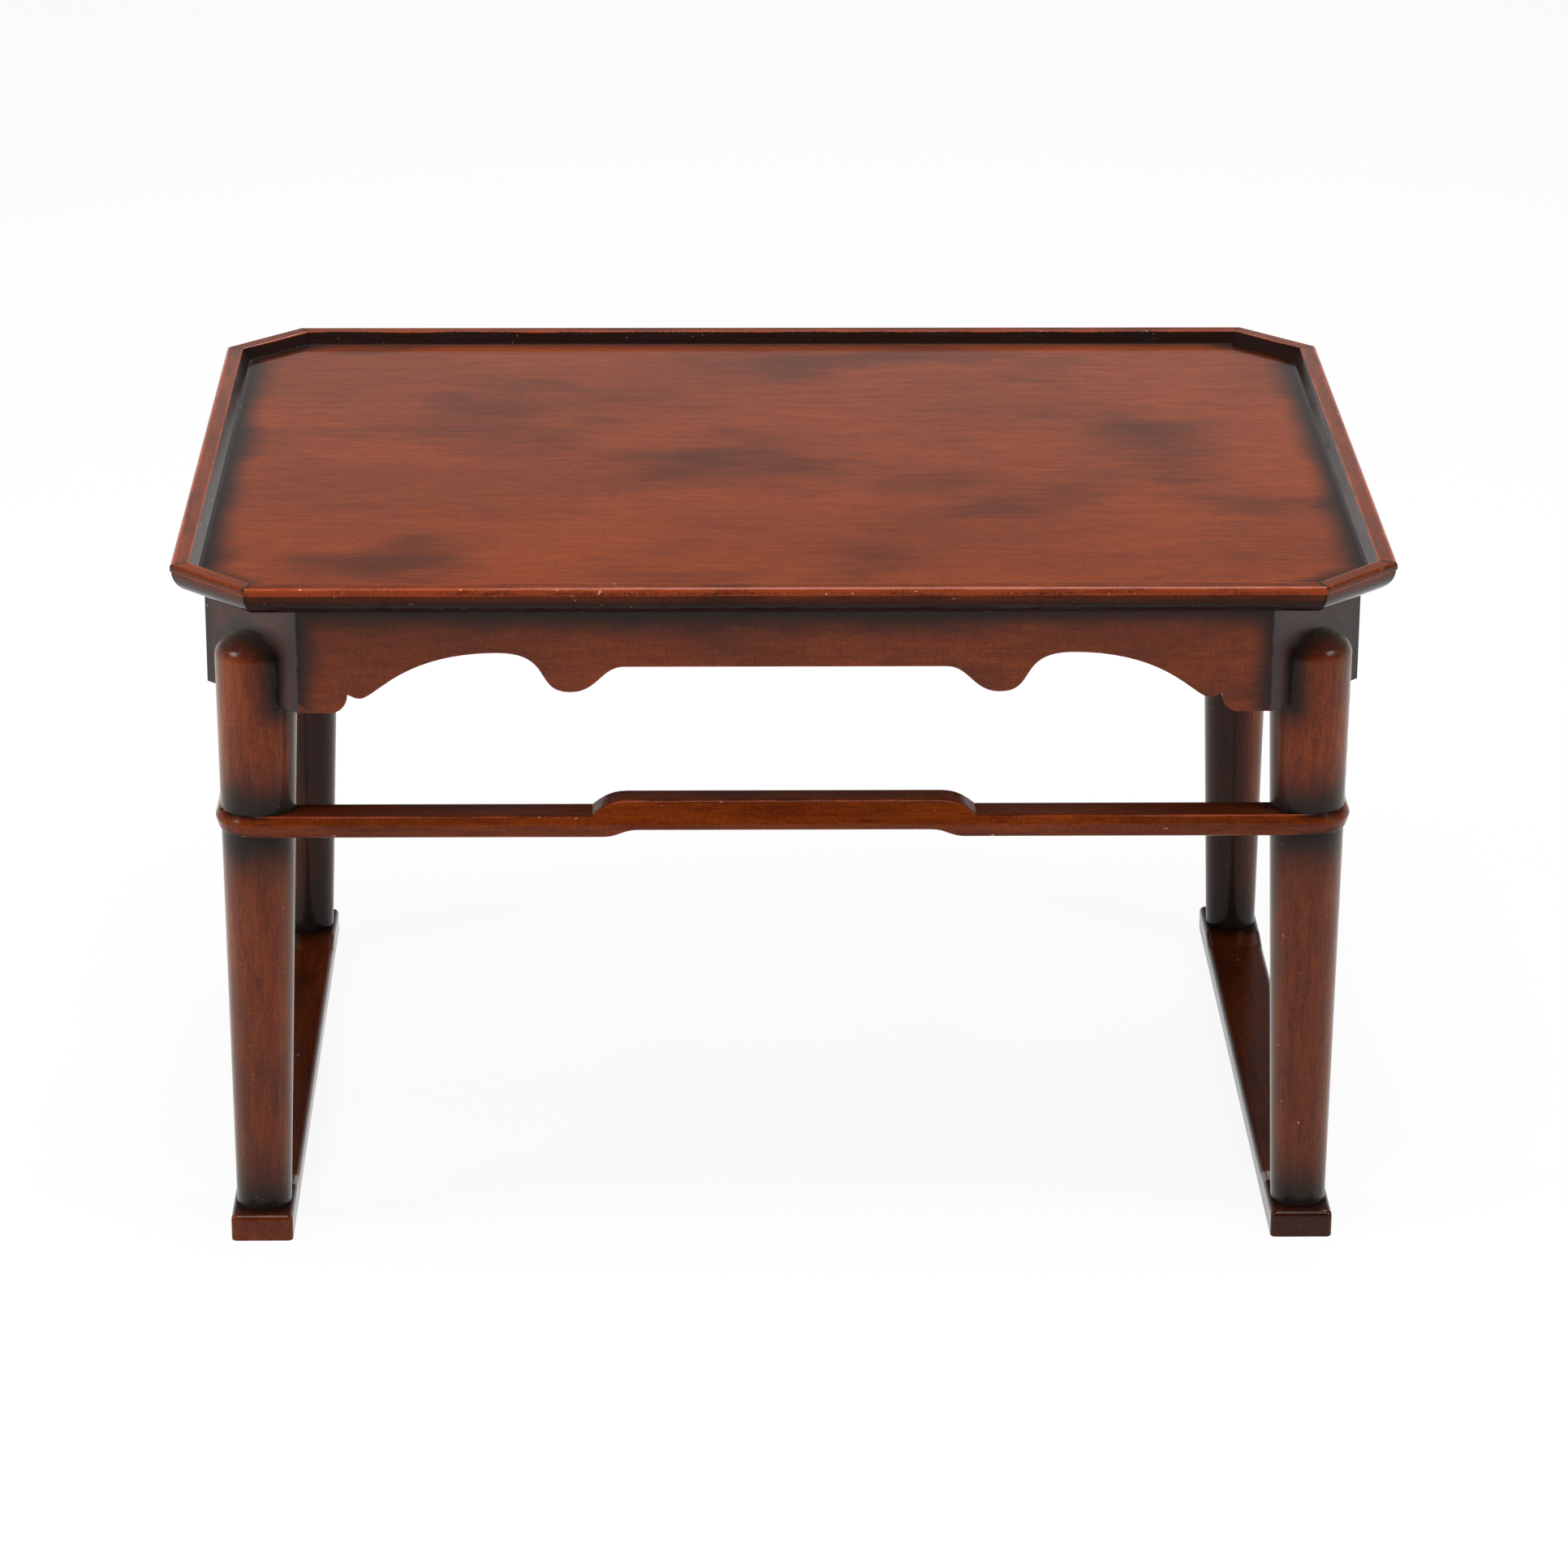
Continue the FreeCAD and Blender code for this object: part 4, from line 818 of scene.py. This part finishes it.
def bar_shade(normal, spot):
    """Dark on the top and on the side that looks under the table; on the top partly painted shadow of the
    tray.
    """
    return BAR_TOP_SMOKE_AND_SHADE if looks_in(normal, spot) or normal.z > BAR_FACES_UP else BAR_DARK


for side in SIDES:
    along, across = (ALONG_X, ALONG_Y) if side in ("front", "rear") else (ALONG_Y, ALONG_X)
    ends = [f"leg_{corner}" for corner in CORNERS if side in corner.split("_")]
    dress(f"stretcher_{side}", finishes["bar_x" if along == ALONG_X else "bar_y"], ends, BAR_EASE_MM,
          [(along, 5), (across, 1.6), (ALONG_Z, 1.6)], bar_shade, BAR_TOP_EDGE, narrow_where_tight=False)
print("stretchers:", len(SIDES))

# %% [markdown]
# ## Foot rails
# The rails lie on the floor and are kicked and rubbed more than the rest. Their tops are dark red,
# partly as painted shadow of the tray above, black round the legs, and the ends keep a rubbed upper
# corner. The sides of the right rail are darker than those of the left one.

# %% Foot rails
RAIL_DARK = {"left": 0.35, "right": 0.78}
# Rail tops: dark red, partly painted shadow of the tray above
RAIL_TOP_SMOKE_AND_SHADE = 0.6
RAIL_FACES_UP = 0.9
RAIL_EASE_MM = 0.6
for hand, dark in RAIL_DARK.items():
    dress(f"foot_rail_{hand}", finishes["rail"], [f"leg_front_{hand}", f"leg_rear_{hand}"], RAIL_EASE_MM,
          [(ALONG_Y, 6), (ALONG_X, 2.4), (ALONG_Z, 2.4)],
          lambda normal, spot: RAIL_TOP_SMOKE_AND_SHADE if normal.z > RAIL_FACES_UP else dark)
print("pieces:", len(made_pieces))

# %% [markdown]
# ## Pins
# The bamboo pins lie inside the wood and keep their solids. Split bamboo has the colour of straw and
# fine fibres, which give a dull, silky surface. Only the ends of the rim pins show, as small bumps
# under the rim. They were driven before the last coats, so the lacquer covers them.

# %% Bamboo
FIBRE_MM = 0.25
FIBRE_DEEP_MM = 0.05


def bamboo(name, light, dark, roughness):
    """Split bamboo with fibres of two tones."""
    material = new_material(name)
    tree = material.node_tree
    place = add(tree, "ShaderNodeTexCoord").outputs["Object"]
    spot = add(tree, "ShaderNodeMapping", {
        "Vector": place, "Scale": [FIBRE_MM * MM] * 3,
    }, vector_type="TEXTURE")
    fibre = add(tree, "ShaderNodeTexNoise", {"Vector": spot, "Scale": 1.0, "Detail": 2.0})
    tone = add(tree, "ShaderNodeMix", {
        "Factor": fibre, "A": linear(light), "B": linear(dark),
    }, data_type="RGBA")
    bump = add(tree, "ShaderNodeBump", {"Height": fibre, "Strength": 0.3, "Distance": FIBRE_DEEP_MM * MM})
    cane = add(tree, "ShaderNodeBsdfPrincipled", {
        "Base Color": tone, "Roughness": roughness, "Normal": bump,
    })
    add(tree, "ShaderNodeOutputMaterial", {"Surface": cane})
    return material


straw = bamboo("split_bamboo", "#c9a872", "#a88450", 0.55)
covered = bamboo("lacquered_bamboo", "#20120d", LACQUER_SMOKE, 0.3)
pin_finishes = {"leg_pins": straw, "stretcher_pins": straw, "rim_pins": covered}
for name, finish in pin_finishes.items():
    nodes[name].data.materials.clear()
    nodes[name].data.materials.append(finish)
print("pin nodes:", len(pin_finishes))

# %% [markdown]
# ## Handing over
# Each piece says which solid it stands for, which body carries it and which finish it takes. The box
# of the solids and the box of the dressed table are written down, because the dressing must not
# change the size.

# %% Finish
for name, piece in made_pieces.items():
    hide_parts(name)
    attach(piece, "root")
visual_box = [list(corner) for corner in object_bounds()]
triangles = sum(len(face.vertices) - 2 for piece in made_pieces.values() for face in piece.data.polygons)
print("triangles:", triangles)
print("box in mm:", [[round(c / MM, 1) for c in corner] for corner in visual_box])
